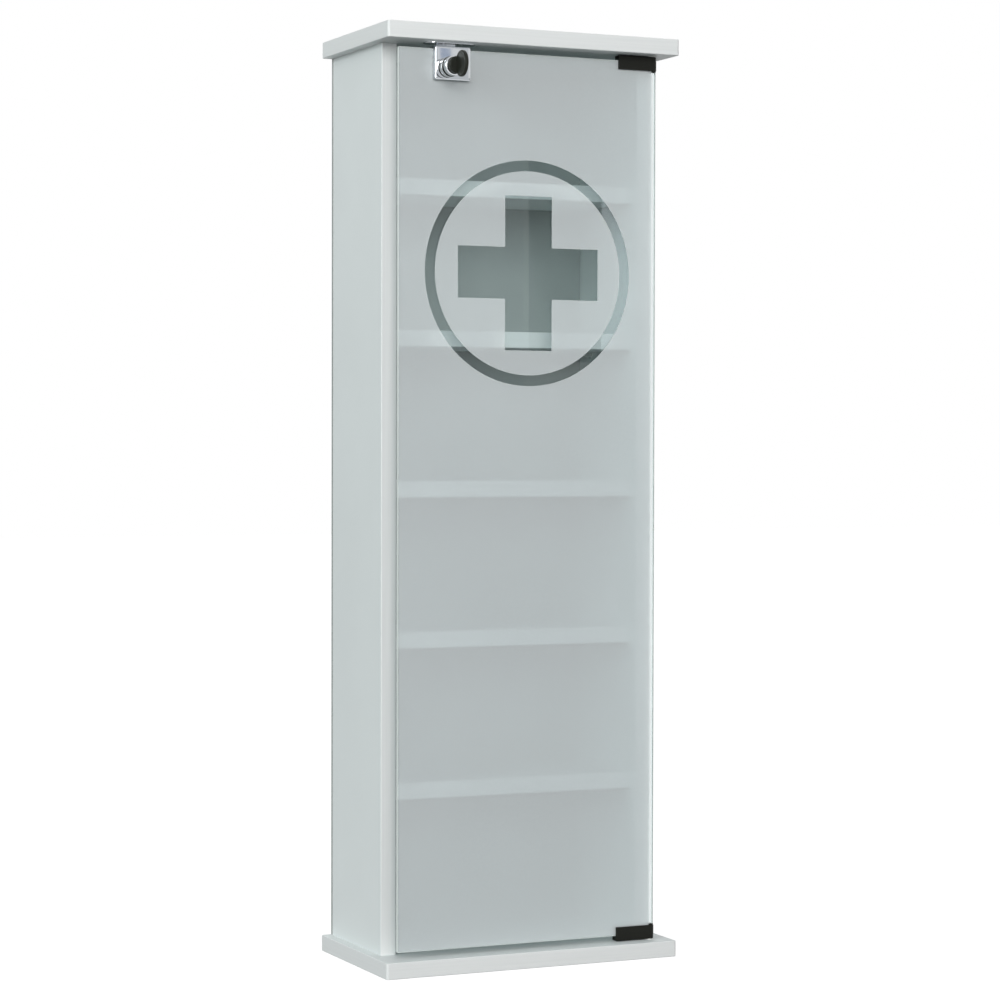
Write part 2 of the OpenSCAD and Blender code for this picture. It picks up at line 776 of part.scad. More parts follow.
// Two jaws joined above the glass, with a round end that reaches a little lower
module clamp() {
    color(clamp_black) difference() {
        union() {
            block([clamp_left_x, pivot_y - clamp_t / 2, clamp_low_z],
                  [pivot_x, pivot_y + clamp_t / 2, clamp_high_z]);
            bar_z(pivot_x, pivot_y, clamp_t / 2, clamp_low_z, clamp_high_z);
            intersection() {
                bar_z(pivot_x, pivot_y, clamp_t / 2, knuckle_low_z, clamp_low_z + over);
                block([pivot_x - knuckle_reach, pivot_y - clamp_t, knuckle_low_z - over],
                      [pivot_x + clamp_t, pivot_y + clamp_t, clamp_high_z]);
            }
        }
        block([clamp_left_x - over, slot_front_y, knuckle_low_z - over],
              [pivot_x + clamp_t, slot_back_y, slot_end_z]);
        bar_z(pivot_x, pivot_y, pivot_r, slot_end_z - over, clamp_high_z + over);
        for (x = clamp_screw_xs)
            bar_y(x, clamp_screw_z, set_screw_r, slot_back_y - over, pivot_y + clamp_t);
    }
}

module top_clamp() { clamp(); }
module bottom_clamp() { at_bottom() clamp(); }

module pivot_pin() {
    color(steel_grey)
        bar_z(pivot_x, pivot_y, pivot_r, slot_end_z, ceiling_z + pivot_depth - joint_clear);
}

module top_pivot_pin() { pivot_pin(); }
module bottom_pivot_pin() { at_bottom() pivot_pin(); }

// Rubber folded over the edge of the glass inside the clamp
module clamp_liner() {
    color(rubber_grey) difference() {
        block([clamp_left_x + liner_inset, slot_front_y, clamp_low_z + liner_inset],
              [door_right_x, slot_back_y, slot_end_z]);
        block([clamp_left_x - over, film_front_y, clamp_low_z - over],
              [door_right_x + over, glass_back_y, glass_high_z]);
    }
}

module top_clamp_liner() { clamp_liner(); }
module bottom_clamp_liner() { at_bottom() clamp_liner(); }

// A headless screw along +Y from y0, with a hexagon socket at its outer end
module headless_screw(x, z, r, y0, y1) {
    difference() {
        bar_y(x, z, r, y0, y1);
        translate([x, y1 - 1.2, z]) rotate([-90, 0, 0]) cylinder(r = r / 2, h = 1.2 + over, $fn = 6);
    }
}

module clamp_screws() {
    color(steel_grey) for (flip = [0, 1], x = clamp_screw_xs)
        translate([0, 0, flip * cabinet_h]) mirror([0, 0, flip])
            headless_screw(x, clamp_screw_z, set_screw_r, slot_back_y, pivot_y + clamp_t / 2);
}

// ---- Lock ----

// One casting: the front case, the strap over the glass and the rear jaw
module lock_case() {
    color(chrome_grey) difference() {
        union() {
            round_plate(case_left_x, case_right_x, case_low_z, case_high_z, case_corner_r,
                        case_front_y, case_back_y);
            block([case_left_x, case_front_y + case_t / 2, strap_low_z],
                  [case_right_x, jaw_back_y, case_high_z]);
            block([case_left_x, jaw_front_y, jaw_low_z], [case_right_x, jaw_back_y, case_high_z]);
        }
        block([case_left_x + case_wall, cavity_y, case_low_z + case_wall],
              [case_right_x - case_wall, cover_y, cavity_high_z]);
        block([case_left_x + cover_margin, cover_y - joint_clear, case_low_z + cover_margin],
              [case_right_x - cover_margin, case_back_y + over, glass_high_z - cover_margin]);
        bar_y(lock_x, lock_z, neck_r, case_front_y - over, cavity_y + over);
        bolt_way();
        for (x = lock_screw_xs) bar_y(x, lock_screw_z, set_screw_r, jaw_front_y - over, jaw_back_y + over);
    }
}

// The guide for the bolt's head through the top of the case
module bolt_way() {
    block([bolt_head_x - bolt_head_w / 2 - lock_clear, bolt_y - lock_clear, cavity_high_z - over],
          [bolt_head_x + bolt_head_w / 2 + lock_clear, bolt_y + bolt_t + lock_clear, case_high_z + over]);
}

module lock_cover() {
    color(steel_grey)
        block([case_left_x + cover_margin, cover_y, case_low_z + cover_margin],
              [case_right_x - cover_margin, case_back_y, glass_high_z - cover_margin]);
}

module lock_liner() {
    color(rubber_grey)
        block([case_left_x + liner_inset, case_back_y, case_low_z + liner_inset],
              [case_right_x - liner_inset, film_front_y, glass_high_z]);
}

// Pressed against the back of the glass by the two screws
module lock_pressure_plate() {
    color(steel_grey)
        block([case_left_x + plate_margin, plate_y, plate_low_z],
              [case_right_x - plate_margin, jaw_front_y, plate_high_z]);
}

module lock_screws() {
    color(steel_grey) for (x = lock_screw_xs)
        headless_screw(x, lock_screw_z, set_screw_r, jaw_front_y, jaw_back_y);
}

// The outer barrel, with two grooves round it and a neck through the case
module lock_barrel() {
    color(chrome_grey) difference() {
        union() {
            bar_y(lock_x, lock_z, nose_r, barrel_front_y + nose_bevel, case_front_y);
            bar_y(lock_x, lock_z, barrel_r, groove_ys[0] + groove_w, case_front_y);
            bar_y(lock_x, lock_z, neck_r, case_front_y, neck_end_y);
            translate([lock_x, barrel_front_y, lock_z]) rotate([-90, 0, 0])
                cylinder(r1 = nose_r - nose_bevel, r2 = nose_r, h = nose_bevel);
        }
        for (y = groove_ys) ring_cut(barrel_r, groove_depth, y, y + groove_w);
        ring_cut(neck_r, clip_groove, clip_y, clip_y + clip_t + over);
        bar_y(lock_x, lock_z, plug_r + lock_clear / 2, barrel_front_y - over, neck_end_y + over);
    }
}

// A groove of the given depth round a bar of radius r on the lock's axis
module ring_cut(r, depth, y0, y1) {
    difference() {
        bar_y(lock_x, lock_z, r + over, y0, y1);
        bar_y(lock_x, lock_z, r - depth, y0 - over, y1 + over);
    }
}

// A spring clip behind the case wall that keeps the barrel in
module barrel_clip() {
    color(steel_grey) difference() {
        bar_y(lock_x, lock_z, clip_r, clip_y, clip_y + clip_t);
        bar_y(lock_x, lock_z, neck_r - clip_groove, clip_y - over, clip_y + clip_t + over);
        block([lock_x - clip_mouth / 2, clip_y - over, lock_z - clip_r - over],
              [lock_x + clip_mouth / 2, clip_y + clip_t + over, lock_z]);
    }
}

// The plug: a keyway in front, and at the rear a disc with the drive pin
module lock_plug() {
    color(chrome_grey) difference() {
        union() {
            bar_y(lock_x, lock_z, plug_r, barrel_front_y, cam_disc_y);
            bar_y(lock_x, lock_z, cam_disc_r, cam_disc_y, cam_disc_y + cam_disc_t);
            bar_y(drive_x, drive_z, drive_pin_r, cam_disc_y, drive_end_y);
        }
        block([lock_x - keyway_t / 2, barrel_front_y - over, lock_z - keyway_w / 2],
              [lock_x + keyway_t / 2, blade_back_y + keyway_end, lock_z + keyway_w / 2]);
    }
}

// A flat bolt, raised by the drive pin in its level slot
module lock_bolt() {
    slot_h = 2 * (drive_pin_r + drive_play);
    slot_left_x = lock_x - drive_r - drive_pin_r - drive_play;
    slot_right_x = drive_x + drive_pin_r + drive_play;
    color(steel_grey) difference() {
        union() {
            block([bolt_body_left_x, bolt_y, bolt_body_low_z],
                  [bolt_body_right_x, bolt_y + bolt_t, bolt_body_high_z]);
            block([bolt_head_x - bolt_head_w / 2, bolt_y, bolt_body_high_z - over],
                  [bolt_head_x + bolt_head_w / 2, bolt_y + bolt_t, bolt_tip_z]);
        }
        block([slot_left_x, bolt_y - over, drive_z - slot_h / 2],
              [slot_right_x, bolt_y + bolt_t + over, drive_z + slot_h / 2]);
    }
}

// ---- Key ----

// The blade has three cuts in its lower edge for the lock's wards
module key_blade() {
    cut_depth = 1.2;
    cut_pitch = 4;
    cut_side = cut_depth * sqrt(2);
    color(chrome_grey) difference() {
        block([lock_x - blade_t / 2, blade_front_y, lock_z - blade_w / 2],
              [lock_x + blade_t / 2, blade_back_y, lock_z + blade_w / 2]);
        for (i = [1:3])
            translate([lock_x, blade_back_y - i * cut_pitch, lock_z - blade_w / 2])
                rotate([45, 0, 0]) cube([blade_t + over, cut_side, cut_side], center = true);
    }
}

// A round moulded head with a raised rim, and a round hub next to the lock
module key_head() {
    color(clamp_black) difference() {
        union() {
            bar_y(lock_x, lock_z, hub_r, hub_front_y, hub_back_y);
            difference() {
                bar_x(head_y, lock_z, head_r, lock_x - head_t / 2 - rim_h, lock_x + head_t / 2 + rim_h);
                for (x = [lock_x - head_t / 2 - rim_h - over, lock_x + head_t / 2])
                    bar_x(head_y, lock_z, head_r - rim_w, x, x + rim_h + over);
            }
        }
        block([lock_x - blade_t / 2, blade_front_y, lock_z - blade_w / 2],
              [lock_x + blade_t / 2, hub_back_y + over, lock_z + blade_w / 2]);
    }
}

top_panel();
bottom_panel();
left_side_panel();
right_side_panel();
back_panel();
shelf_1();
shelf_2();
shelf_3();
shelf_4();
shelf_5();
shelf_pins();
wood_dowels();
cam_bolts();
cam_locks();
cam_caps();
back_nails();
left_hanger();
right_hanger();
hanger_screws();
top_bush();
bottom_bush();
strike_plate();
strike_screws();
stop_pad();
glass_door();
frosted_film();
top_clamp();
bottom_clamp();
top_pivot_pin();
bottom_pivot_pin();
top_clamp_liner();
bottom_clamp_liner();
clamp_screws();
lock_case();
lock_cover();
lock_liner();
lock_pressure_plate();
lock_screws();
lock_barrel();
barrel_clip();
lock_plug();
lock_bolt();
key_blade();
key_head();
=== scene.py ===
import json
from math import cos, pi, radians, sin

import bmesh
import bpy
from bpy.props import FloatProperty, FloatVectorProperty, IntProperty, PointerProperty
from mathutils import Matrix, Vector


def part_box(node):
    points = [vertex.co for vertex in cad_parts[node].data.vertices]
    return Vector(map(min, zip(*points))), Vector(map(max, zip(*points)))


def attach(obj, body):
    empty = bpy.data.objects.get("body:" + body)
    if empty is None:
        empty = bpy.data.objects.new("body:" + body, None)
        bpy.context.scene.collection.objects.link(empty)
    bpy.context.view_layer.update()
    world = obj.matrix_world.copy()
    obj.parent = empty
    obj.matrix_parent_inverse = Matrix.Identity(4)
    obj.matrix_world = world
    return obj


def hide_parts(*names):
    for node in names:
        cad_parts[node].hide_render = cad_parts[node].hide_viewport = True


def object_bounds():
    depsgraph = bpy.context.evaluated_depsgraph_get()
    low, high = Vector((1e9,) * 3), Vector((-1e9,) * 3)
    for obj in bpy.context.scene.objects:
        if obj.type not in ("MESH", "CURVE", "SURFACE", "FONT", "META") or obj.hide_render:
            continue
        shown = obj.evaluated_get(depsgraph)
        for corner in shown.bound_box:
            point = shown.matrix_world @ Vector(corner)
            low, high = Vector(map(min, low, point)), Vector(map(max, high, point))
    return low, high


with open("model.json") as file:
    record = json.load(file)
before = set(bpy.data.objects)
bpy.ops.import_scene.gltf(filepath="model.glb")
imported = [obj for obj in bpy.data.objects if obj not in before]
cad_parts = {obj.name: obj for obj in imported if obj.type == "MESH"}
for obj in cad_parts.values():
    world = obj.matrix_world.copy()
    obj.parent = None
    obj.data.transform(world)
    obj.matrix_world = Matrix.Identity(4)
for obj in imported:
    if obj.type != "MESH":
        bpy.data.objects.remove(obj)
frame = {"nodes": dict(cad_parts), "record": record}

bl_info = {
    "name": "Lockable medicine cabinet",
    "version": (1, 0, 0),
    "blender": (4, 5, 0),
    "location": "View3D > Sidebar > Cabinet",
    "description": "Dresses the packed cabinet: boards, frosted glass door, clamps and cam lock",
    "category": "Object",
}

CAD_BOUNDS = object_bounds()
MM = 0.001
TINY = 1e-6             # metres within which two places count as one
PAST = MM               # how far a cutter reaches past the face that it opens
X, Y, Z = Vector((1, 0, 0)), Vector((0, 1, 0)), Vector((0, 0, 1))


# ---- Values ----

def linear(hex_colour):
    """Linear RGBA of an sRGB hex colour."""
    channels = [int(hex_colour[i:i + 2], 16) / 255 for i in (1, 3, 5)]
    return tuple(c / 12.92 if c <= 0.04045 else ((c + 0.055) / 1.055) ** 2.4
                 for c in channels) + (1.0,)


def length(name, description, millimetres):
    return FloatProperty(name=name, description=description, default=millimetres * MM,
                         unit="LENGTH", subtype="DISTANCE", precision=5)


def colour(name, description, hex_colour):
    return FloatVectorProperty(name=name, description=description, default=linear(hex_colour),
                               subtype="COLOR", size=4, min=0, max=1)


class CabinetSizes(bpy.types.PropertyGroup):
    """Sizes of the dressed pieces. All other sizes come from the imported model."""
    board_corner: length(
        "Board corner", "Radius of the upright corners of the top and bottom panels", 2.5)
    board_edge: length("Board edge", "Radius of the edge banding's long edges", 0.8)
    glass_corner: length("Glass corner", "Radius of the pane's four corners", 1.5)
    glass_edge: length("Glass edge", "Width of the pane's polished arris", 0.8)
    ring_outer: length("Ring, outside", "Outer radius of the clear ring", 110.25)
    ring_inner: length("Ring, inside", "Inner radius of the clear ring", 99.75)
    cross_reach: length("Cross reach", "Half the length of the clear cross's arms", 75.5)
    cross_half: length("Cross half width", "Half the width of the clear cross's arms", 25.2)
    sign_height: length("Sign height", "Height of the middle of the ring and the cross", 679.5)
    clamp_edge: length("Clamp edge", "Radius of the clamps' edges", 0.5)
    case_corner: length(
        "Lock corner", "Radius of the lock case's corners, seen from the front", 2.0)
    case_edge: length("Lock edge", "Radius of the lock case's front edges", 0.9)
    case_crown: length(
        "Lock crown", "How far the lock case's front falls back towards its corners", 0.28)
    screw_radius: length("Clamping screw", "Radius of the headless clamping screws", 2.0)
    round_segments: IntProperty(
        name="Round segments", description="Segments round the barrel and the key's head",
        default=72, min=24)


class CabinetColours(bpy.types.PropertyGroup):
    """Colours of the finishes."""
    board: colour("Board faces", "White melamine", "#DCE1E0")
    band: colour("Board edges", "Edge banding", "#DFE1E0")
    frosting: colour("Frosting", "Frosted film", "#F5F9FA")
    glass: colour("Glass", "Clear float glass, seen through its face", "#F8FCFC")
    glass_edge: colour("Glass edge", "Float glass, seen along the pane", "#DCE2DF")
    chrome: colour("Chrome", "Bright chrome plate", "#CDD0D3")
    black_enamel: colour("Black enamel", "Powder coat of the clamps", "#141510")
    black_plastic: colour("Black plastic", "Moulding of the key's head", "#191B16")


class StageSettings(bpy.types.PropertyGroup):
    """Strength of the light."""
    key_power: FloatProperty(name="Front light", description="Softbox in front of the cabinet",
                             default=212.0, min=0, unit="POWER")
    side_power: FloatProperty(name="Side light", description="Softbox to the left of the cabinet",
                              default=112.0, min=0, unit="POWER")
    ambient: FloatProperty(name="Room light", description="Strength of the light from all round",
                           default=0.42, min=0)


# ---- Modelling ----

def block(low, high):
    """A box between two corners, as a bmesh."""
    low, high = Vector(low), Vector(high)
    bm = bmesh.new()
    bmesh.ops.create_cube(bm, size=1.0)
    bmesh.ops.scale(bm, vec=high - low, verts=bm.verts)
    bmesh.ops.translate(bm, vec=(low + high) / 2, verts=bm.verts)
    return bm


def bar(middle, radius, start, end, axis=Y, segments=64):
    """A round bar along an axis, from start to end on it, as a bmesh."""
    bm = bmesh.new()
    turn = Z.rotation_difference(axis).to_matrix().to_4x4()
    centre = Vector([m * (1 - a) for m, a in zip(middle, axis)]) + axis * (start + end) / 2
    bmesh.ops.create_cone(bm, cap_ends=True, segments=segments, radius1=radius, radius2=radius,
                          depth=end - start, matrix=Matrix.Translation(centre) @ turn)
    return bm


def lathe(profile, middle, axis, steps, closed=True):
    """A profile of (radius, distance along the axis) in millimetres, spun round the axis."""
    bm = bmesh.new()
    verts = [bm.verts.new(Vector(middle) + axis * (distance * MM) + Z * (radius * MM))
             for radius, distance in profile]
    edges = [bm.edges.new(pair) for pair in zip(verts, verts[1:])]
    if closed:
        edges.append(bm.edges.new((verts[-1], verts[0])))
    bmesh.ops.spin(bm, geom=verts + edges, cent=middle, axis=axis, dvec=(0, 0, 0), angle=2 * pi,
                   steps=steps, use_merge=True, use_duplicate=False)
    bmesh.ops.remove_doubles(bm, verts=bm.verts, dist=TINY)
    bmesh.ops.recalc_face_normals(bm, faces=bm.faces)
    return bm


def along(bm, axis, parallel=0.999):
    """The edges that run along an axis."""
    return [e for e in bm.edges
            if abs((e.verts[0].co - e.verts[1].co).normalized().dot(axis)) > parallel]


def sharp(bm, degrees=40):
    """The edges at which the surface turns by more than an angle."""
    return [e for e in bm.edges
            if len(e.link_faces) == 2 and e.calc_face_angle(0) > radians(degrees)]


def soften(bm, edges, radius, segments):
    """Rounds edges."""
    bmesh.ops.bevel(bm, geom=edges, offset=radius, offset_type="OFFSET", affect="EDGES",
                    segments=segments, profile=0.5, material=-1, clamp_overlap=True)


def crown(bm, low, high, depth, fall, cuts=12):
    """Curves the front of a block back towards its corners, as deep as its rounding goes."""
    for i in range(1, cuts):
        for axis in (X, Z):
            bmesh.ops.bisect_plane(bm, geom=bm.verts[:] + bm.edges[:] + bm.faces[:],
                                   plane_co=low + (high - low) * i / cuts, plane_no=axis,
                                   dist=TINY / 10)
    middle, half = (low + high) / 2, (high - low) / 2
    for v in bm.verts:
        if v.co.y < low.y + depth + TINY:
            off = ((v.co.x - middle.x) / half.x) ** 2 + ((v.co.z - middle.z) / half.z) ** 2
            v.co.y += fall * off / 2


def loose(name, bm):
    """An object in the scene with a bmesh's faces."""
    mesh = bpy.data.meshes.new(name)
    bm.to_mesh(mesh)
    bm.free()
    ob = bpy.data.objects.new(name, mesh)
    bpy.context.scene.collection.objects.link(ob)
    return ob


def carve(ob, tools, operation="DIFFERENCE"):
    """Cuts each of the bmeshes from an object, or adds them to it."""
    helpers = [loose("tool", bm) for bm in tools]
    for helper in helpers:
        cut = ob.modifiers.new("cut", "BOOLEAN")
        cut.object, cut.operation, cut.solver = helper, operation, "EXACT"
    bpy.context.view_layer.update()
    mesh = bpy.data.meshes.new_from_object(
        ob.evaluated_get(bpy.context.evaluated_depsgraph_get()))
    ob.modifiers.clear()
    before, ob.data = ob.data, mesh
    bpy.data.meshes.remove(before)
    for helper in helpers:
        bpy.data.meshes.remove(helper.data)
    if not len(mesh.polygons):
        raise RuntimeError(f"{ob.name}: cutting left nothing")


BODY_OF = {node: body
           for body, nodes in frame["record"]["behaviour"]["bodies"].items() for node in nodes}


def finish_piece(ob, node, slots, faces=None, smooth=40):
    """Gives a piece its finishes, and puts it in the place of a CAD node.

    slots are names of finishes, and the first is also the record's material slot. faces is a
    function that gives a face's place in slots. smooth is the angle in degrees up to which
    shading runs on, or 0 for flat faces.
    """
    ob.data.materials.clear()
    for slot in slots:
        ob.data.materials.append(finish(slot))
    for face in ob.data.polygons:
        face.material_index = faces(face) if faces else 0
        face.use_smooth = smooth > 0
    if smooth:
        ob.data.set_sharp_from_angle(angle=radians(smooth))
        even = ob.modifiers.new("even shading", "WEIGHTED_NORMAL")
        even.keep_sharp = True
    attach(ob, BODY_OF[node])
    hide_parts(node)


# ---- Finishes ----

def add(tree, kind, inputs=None, **settings):
    """Adds a node. inputs are values or sockets, by the name or number of the input."""
    node = tree.nodes.new(kind)
    for name, value in settings.items():
        setattr(node, name, value)
    for name, value in (inputs or {}).items():
        if isinstance(value, bpy.types.NodeSocket):
            tree.links.new(value, node.inputs[name])
        else:
            node.inputs[name].default_value = value
    return node


def empty_tree(owner):
    """The node tree of a material or a world, with nothing in it."""
    owner.use_nodes = True
    owner.node_tree.nodes.clear()
    return owner.node_tree


def per(millimetres):
    """A texture scale at which one feature is that wide."""
    return 1 / (millimetres * MM)


def place(tree, scale=(1, 1, 1)):
    """Object coordinates. A scale below 1 stretches a pattern along that axis."""
    coords = add(tree, "ShaderNodeTexCoord").outputs["Object"]
    return add(tree, "ShaderNodeMapping", {"Vector": coords, "Scale": scale}).outputs[0]


def blend(tree, factor, a, b):
    """Two colours mixed."""
    return add(tree, "ShaderNodeMix", {0: factor, 6: a, 7: b}, data_type="RGBA").outputs[2]


def spread(tree, value, low, high, start=0.3, end=0.7):
    """A pattern's values from start to end, spread over low to high."""
    return add(tree, "ShaderNodeMapRange", {"Value": value, "From Min": start, "From Max": end,
                                            "To Min": low, "To Max": high}).outputs[0]


def relief(tree, height, depth_mm):
    """A bump of a depth in millimetres."""
    return add(tree, "ShaderNodeBump", {"Height": height, "Strength": 1.0,
                                        "Distance": depth_mm * MM}).outputs[0]


def shade(colour, factor):
    """A colour made darker or lighter."""
    return tuple(min(c * factor, 1.0) for c in tuple(colour)[:3]) + (1.0,)


def surface(tree, inputs):
    """A Principled shader at the material's output."""
    shader = add(tree, "ShaderNodeBsdfPrincipled", inputs)
    add(tree, "ShaderNodeOutputMaterial", {"Surface": shader.outputs[0]})


def melamine_faces(tree, colours):
    # Melamine paper pressed on chipboard against a satin steel plate: a fine pearl that breaks up
    # the reflections, and a colour that is even but for broad, faint clouds. The pearl is drawn at
    # 2 mm, because its real 0.5 mm is too fine to show.
    at = place(tree)
    pearl = add(tree, "ShaderNodeTexNoise",
                {"Vector": at, "Scale": per(2.0), "Detail": 2.0}).outputs[0]
    clouds = add(tree, "ShaderNodeTexNoise",
                 {"Vector": at, "Scale": per(80), "Detail": 2.0}).outputs[0]
    surface(tree, {
        "Base Color": blend(tree, spread(tree, clouds, 0, 1), shade(colours.board, 0.975),
                            colours.board),
        "Roughness": spread(tree, pearl, 0.40, 0.52),
        "Normal": relief(tree, pearl, 0.03)})


def banding(grain):
    def melamine_banding(tree, colours):
        # ABS edge banding, planed flush along its length: as satin as the faces, with faint lines
        # along the edge. The lines are drawn at 2.5 mm, because the real scraper marks are finer.
        at = place(tree, grain)
        lines = add(tree, "ShaderNodeTexNoise",
                    {"Vector": at, "Scale": per(2.5), "Detail": 3.0}).outputs[0]
        surface(tree, {
            "Base Color": blend(tree, spread(tree, lines, 0, 1), shade(colours.band, 0.955),
                                colours.band),
            "Roughness": spread(tree, lines, 0.42, 0.55),
            "Normal": relief(tree, lines, 0.02)})
    return melamine_banding


def hardboard(tree, colours):
    # Hardboard: lacquered and lightly clouded towards the shelves, in a grey darker than the boards
    # that is painted shade for the dim depth of the compartments; bare brown fibre with a rough,
    # matted look behind
    at = place(tree)
    towards_rear = add(tree, "ShaderNodeSeparateXYZ",
                       {0: add(tree, "ShaderNodeTexCoord").outputs["Normal"]}).outputs[1]
    fibre = add(tree, "ShaderNodeTexNoise", {"Vector": place(tree, (1, 1, 0.35)),
                                             "Scale": per(2.2), "Detail": 5.0,
                                             "Roughness": 0.7}).outputs[0]
    clouds = add(tree, "ShaderNodeTexNoise",
                 {"Vector": at, "Scale": per(60), "Detail": 2.0}).outputs[0]
    brown = blend(tree, spread(tree, fibre, 0, 1), linear("#7A5A3C"), linear("#9A7754"))
    # Painted shade: this grey darkens the back to stand in for the shade deep in the compartments
    grey = blend(tree, spread(tree, clouds, 0, 1), linear("#8F9593"), linear("#999E9C"))
    surface(tree, {
        "Base Color": blend(tree, spread(tree, towards_rear, 0, 1, 0.4, 0.6), grey, brown),
        "Roughness": spread(tree, fibre, 0.45, 0.7),
        "Normal": relief(tree, fibre, 0.05)})


def beech(tree, colours):
    # Turned beech: short dark flecks and grain along the dowel
    at = place(tree, (1, 1, 0.12))
    grain = add(tree, "ShaderNodeTexNoise",
                {"Vector": at, "Scale": per(0.9), "Detail": 4.0}).outputs[0]
    surface(tree, {
        "Base Color": blend(tree, spread(tree, grain, 0, 1), linear("#C79B6B"),
                            linear("#DDB98C")),
        "Roughness": spread(tree, grain, 0.5, 0.7),
        "Normal": relief(tree, grain, 0.03)})


def plated_steel(tree, colours):
    # Steel wire and sheet, barrel-plated with zinc: bright but slightly cloudy, with tumbling
    # marks
    at = place(tree)
    marks = add(tree, "ShaderNodeTexNoise",
                {"Vector": at, "Scale": per(1.2), "Detail": 3.0}).outputs[0]
    surface(tree, {
        "Base Color": blend(tree, spread(tree, marks, 0, 1), linear("#B4B6B2"),
                            linear("#CBCDCA")),
        "Metallic": 1.0,
        "Roughness": spread(tree, marks, 0.24, 0.38)})


def cast_zinc(tree, colours):
    # Zinc die casting, as cast: dull grey with a fine grainy skin
    at = place(tree)
    skin = add(tree, "ShaderNodeTexNoise",
               {"Vector": at, "Scale": per(0.8), "Detail": 4.0}).outputs[0]
    surface(tree, {
        "Base Color": blend(tree, spread(tree, skin, 0, 1), linear("#8F9194"),
                            linear("#A6A8AA")),
        "Metallic": 1.0,
        "Roughness": spread(tree, skin, 0.45, 0.6),
        "Normal": relief(tree, skin, 0.02)})


def bright_chrome(tree, colours):
    # Polished zinc casting with bright chrome: mirrors the room sharply, with faint finger marks
    at = place(tree)
    smudges = add(tree, "ShaderNodeTexNoise",
                  {"Vector": at, "Scale": per(9), "Detail": 3.0}).outputs[0]
    surface(tree, {
        "Base Color": blend(tree, spread(tree, smudges, 0, 1), shade(colours.chrome, 0.94),
                            colours.chrome),
        "Metallic": 1.0,
        "Roughness": spread(tree, smudges, 0.03, 0.08)})


def black_enamel(tree, colours):
    # Satin black powder coat: soft highlights broken by a low orange peel, drawn at 1.2 mm
    at = place(tree)
    peel = add(tree, "ShaderNodeTexNoise",
               {"Vector": at, "Scale": per(1.2), "Detail": 1.0}).outputs[0]
    surface(tree, {
        "Base Color": blend(tree, spread(tree, peel, 0, 1), shade(colours.black_enamel, 0.85),
                            colours.black_enamel),
        "Roughness": spread(tree, peel, 0.50, 0.60),
        "Specular IOR Level": 0.16,
        "Normal": relief(tree, peel, 0.03)})


def black_plastic(tree, colours):
    # Moulded nylon: near black, with small soft highlights and the faint grain of the mould
    at = place(tree)
    spark = add(tree, "ShaderNodeTexVoronoi",
                {"Vector": at, "Scale": per(0.7)}).outputs["Distance"]
    surface(tree, {
        "Base Color": blend(tree, spread(tree, spark, 0, 1, 0, 0.6), colours.black_plastic,
                            shade(colours.black_plastic, 1.4)),
        "Roughness": spread(tree, spark, 0.26, 0.34, 0, 0.6),
        "Specular IOR Level": 0.15,
        "Normal": relief(tree, spark, 0.02)})


def white_plastic(tree, colours):
    # Moulded white nylon: slightly translucent, with a soft shine
    at = place(tree)
    flow = add(tree, "ShaderNodeTexNoise",
               {"Vector": at, "Scale": per(6), "Detail": 2.0}).outputs[0]
    surface(tree, {
        "Base Color": blend(tree, spread(tree, flow, 0, 1), linear("#DCDBD4"),
                            linear("#E8E7E1")),
        "Roughness": spread(tree, flow, 0.38, 0.48),
        "Subsurface Weight": 0.1})


def grey_rubber(tree, colours):
    # Moulded rubber: dull, with a fine matt grain
    at = place(tree)
    grain = add(tree, "ShaderNodeTexNoise",
                {"Vector": at, "Scale": per(0.9), "Detail": 3.0}).outputs[0]
    surface(tree, {
        "Base Color": blend(tree, spread(tree, grain, 0, 1), linear("#55575A"),
                            linear("#666869")),
        "Roughness": spread(tree, grain, 0.75, 0.9),
        "Normal": relief(tree, grain, 0.04)})


def lit_through(tree, seen, passed, white_outside=False):
    """Glass as it is seen, which lets lamps shine through as a plain filter.

    white_outside is for a film whose front also lights what stands round it.
    """
    path = add(tree, "ShaderNodeLightPath")
    plain = add(tree, "ShaderNodeBsdfTransparent", {"Color": passed}).outputs[0]
    diffuse = path.outputs["Is Diffuse Ray"]
    if white_outside:
        facing = add(tree, "ShaderNodeSeparateXYZ",
                     {0: add(tree, "ShaderNodeTexCoord").outputs["Normal"]})
        front = add(tree, "ShaderNodeMath", {0: facing.outputs[1], 1: 0.0},
                    operation="LESS_THAN").outputs[0]
        diffuse = add(tree, "ShaderNodeMath", {0: diffuse, 1: front}, operation="SUBTRACT",
                      use_clamp=True).outputs[0]
    for ray in (diffuse, path.outputs["Is Shadow Ray"]):
        seen = add(tree, "ShaderNodeMixShader", {0: ray, 1: seen, 2: plain}).outputs[0]
    add(tree, "ShaderNodeOutputMaterial", {"Surface": seen})


def clear_glass(tree, colours):
    # Clear float glass: a faint green, plain mirror images of the room, no ripple
    glass = add(tree, "ShaderNodeBsdfGlass",
                {"Color": colours.glass, "Roughness": 0.0, "IOR": 1.52})
    lit_through(tree, glass.outputs[0], shade(colours.glass, 0.97))


def glass_arris(tree, colours):
    # The ground and lightly polished edge of the pane: a satin, pale grey-green line, with a
    # little of the glass's depth in it and a faint grind along the edge
    at = place(tree, (1, 1, 0.2))
    grind = add(tree, "ShaderNodeTexNoise",
                {"Vector": at, "Scale": per(3), "Detail": 2.0}).outputs[0]
    glass = add(tree, "ShaderNodeBsdfGlass", {
        "Color": blend(tree, spread(tree, grind, 0, 1), shade(colours.glass_edge, 0.85),
                       colours.glass_edge),
        "Roughness": 0.12, "IOR": 1.52})
    ground = add(tree, "ShaderNodeBsdfPrincipled",
                 {"Base Color": colours.glass_edge, "Roughness": 0.35})
    ground_share = 0.8
    both = add(tree, "ShaderNodeMixShader",
               {0: ground_share, 1: glass.outputs[0], 2: ground.outputs[0]})
    lit_through(tree, both.outputs[0], colours.glass_edge)


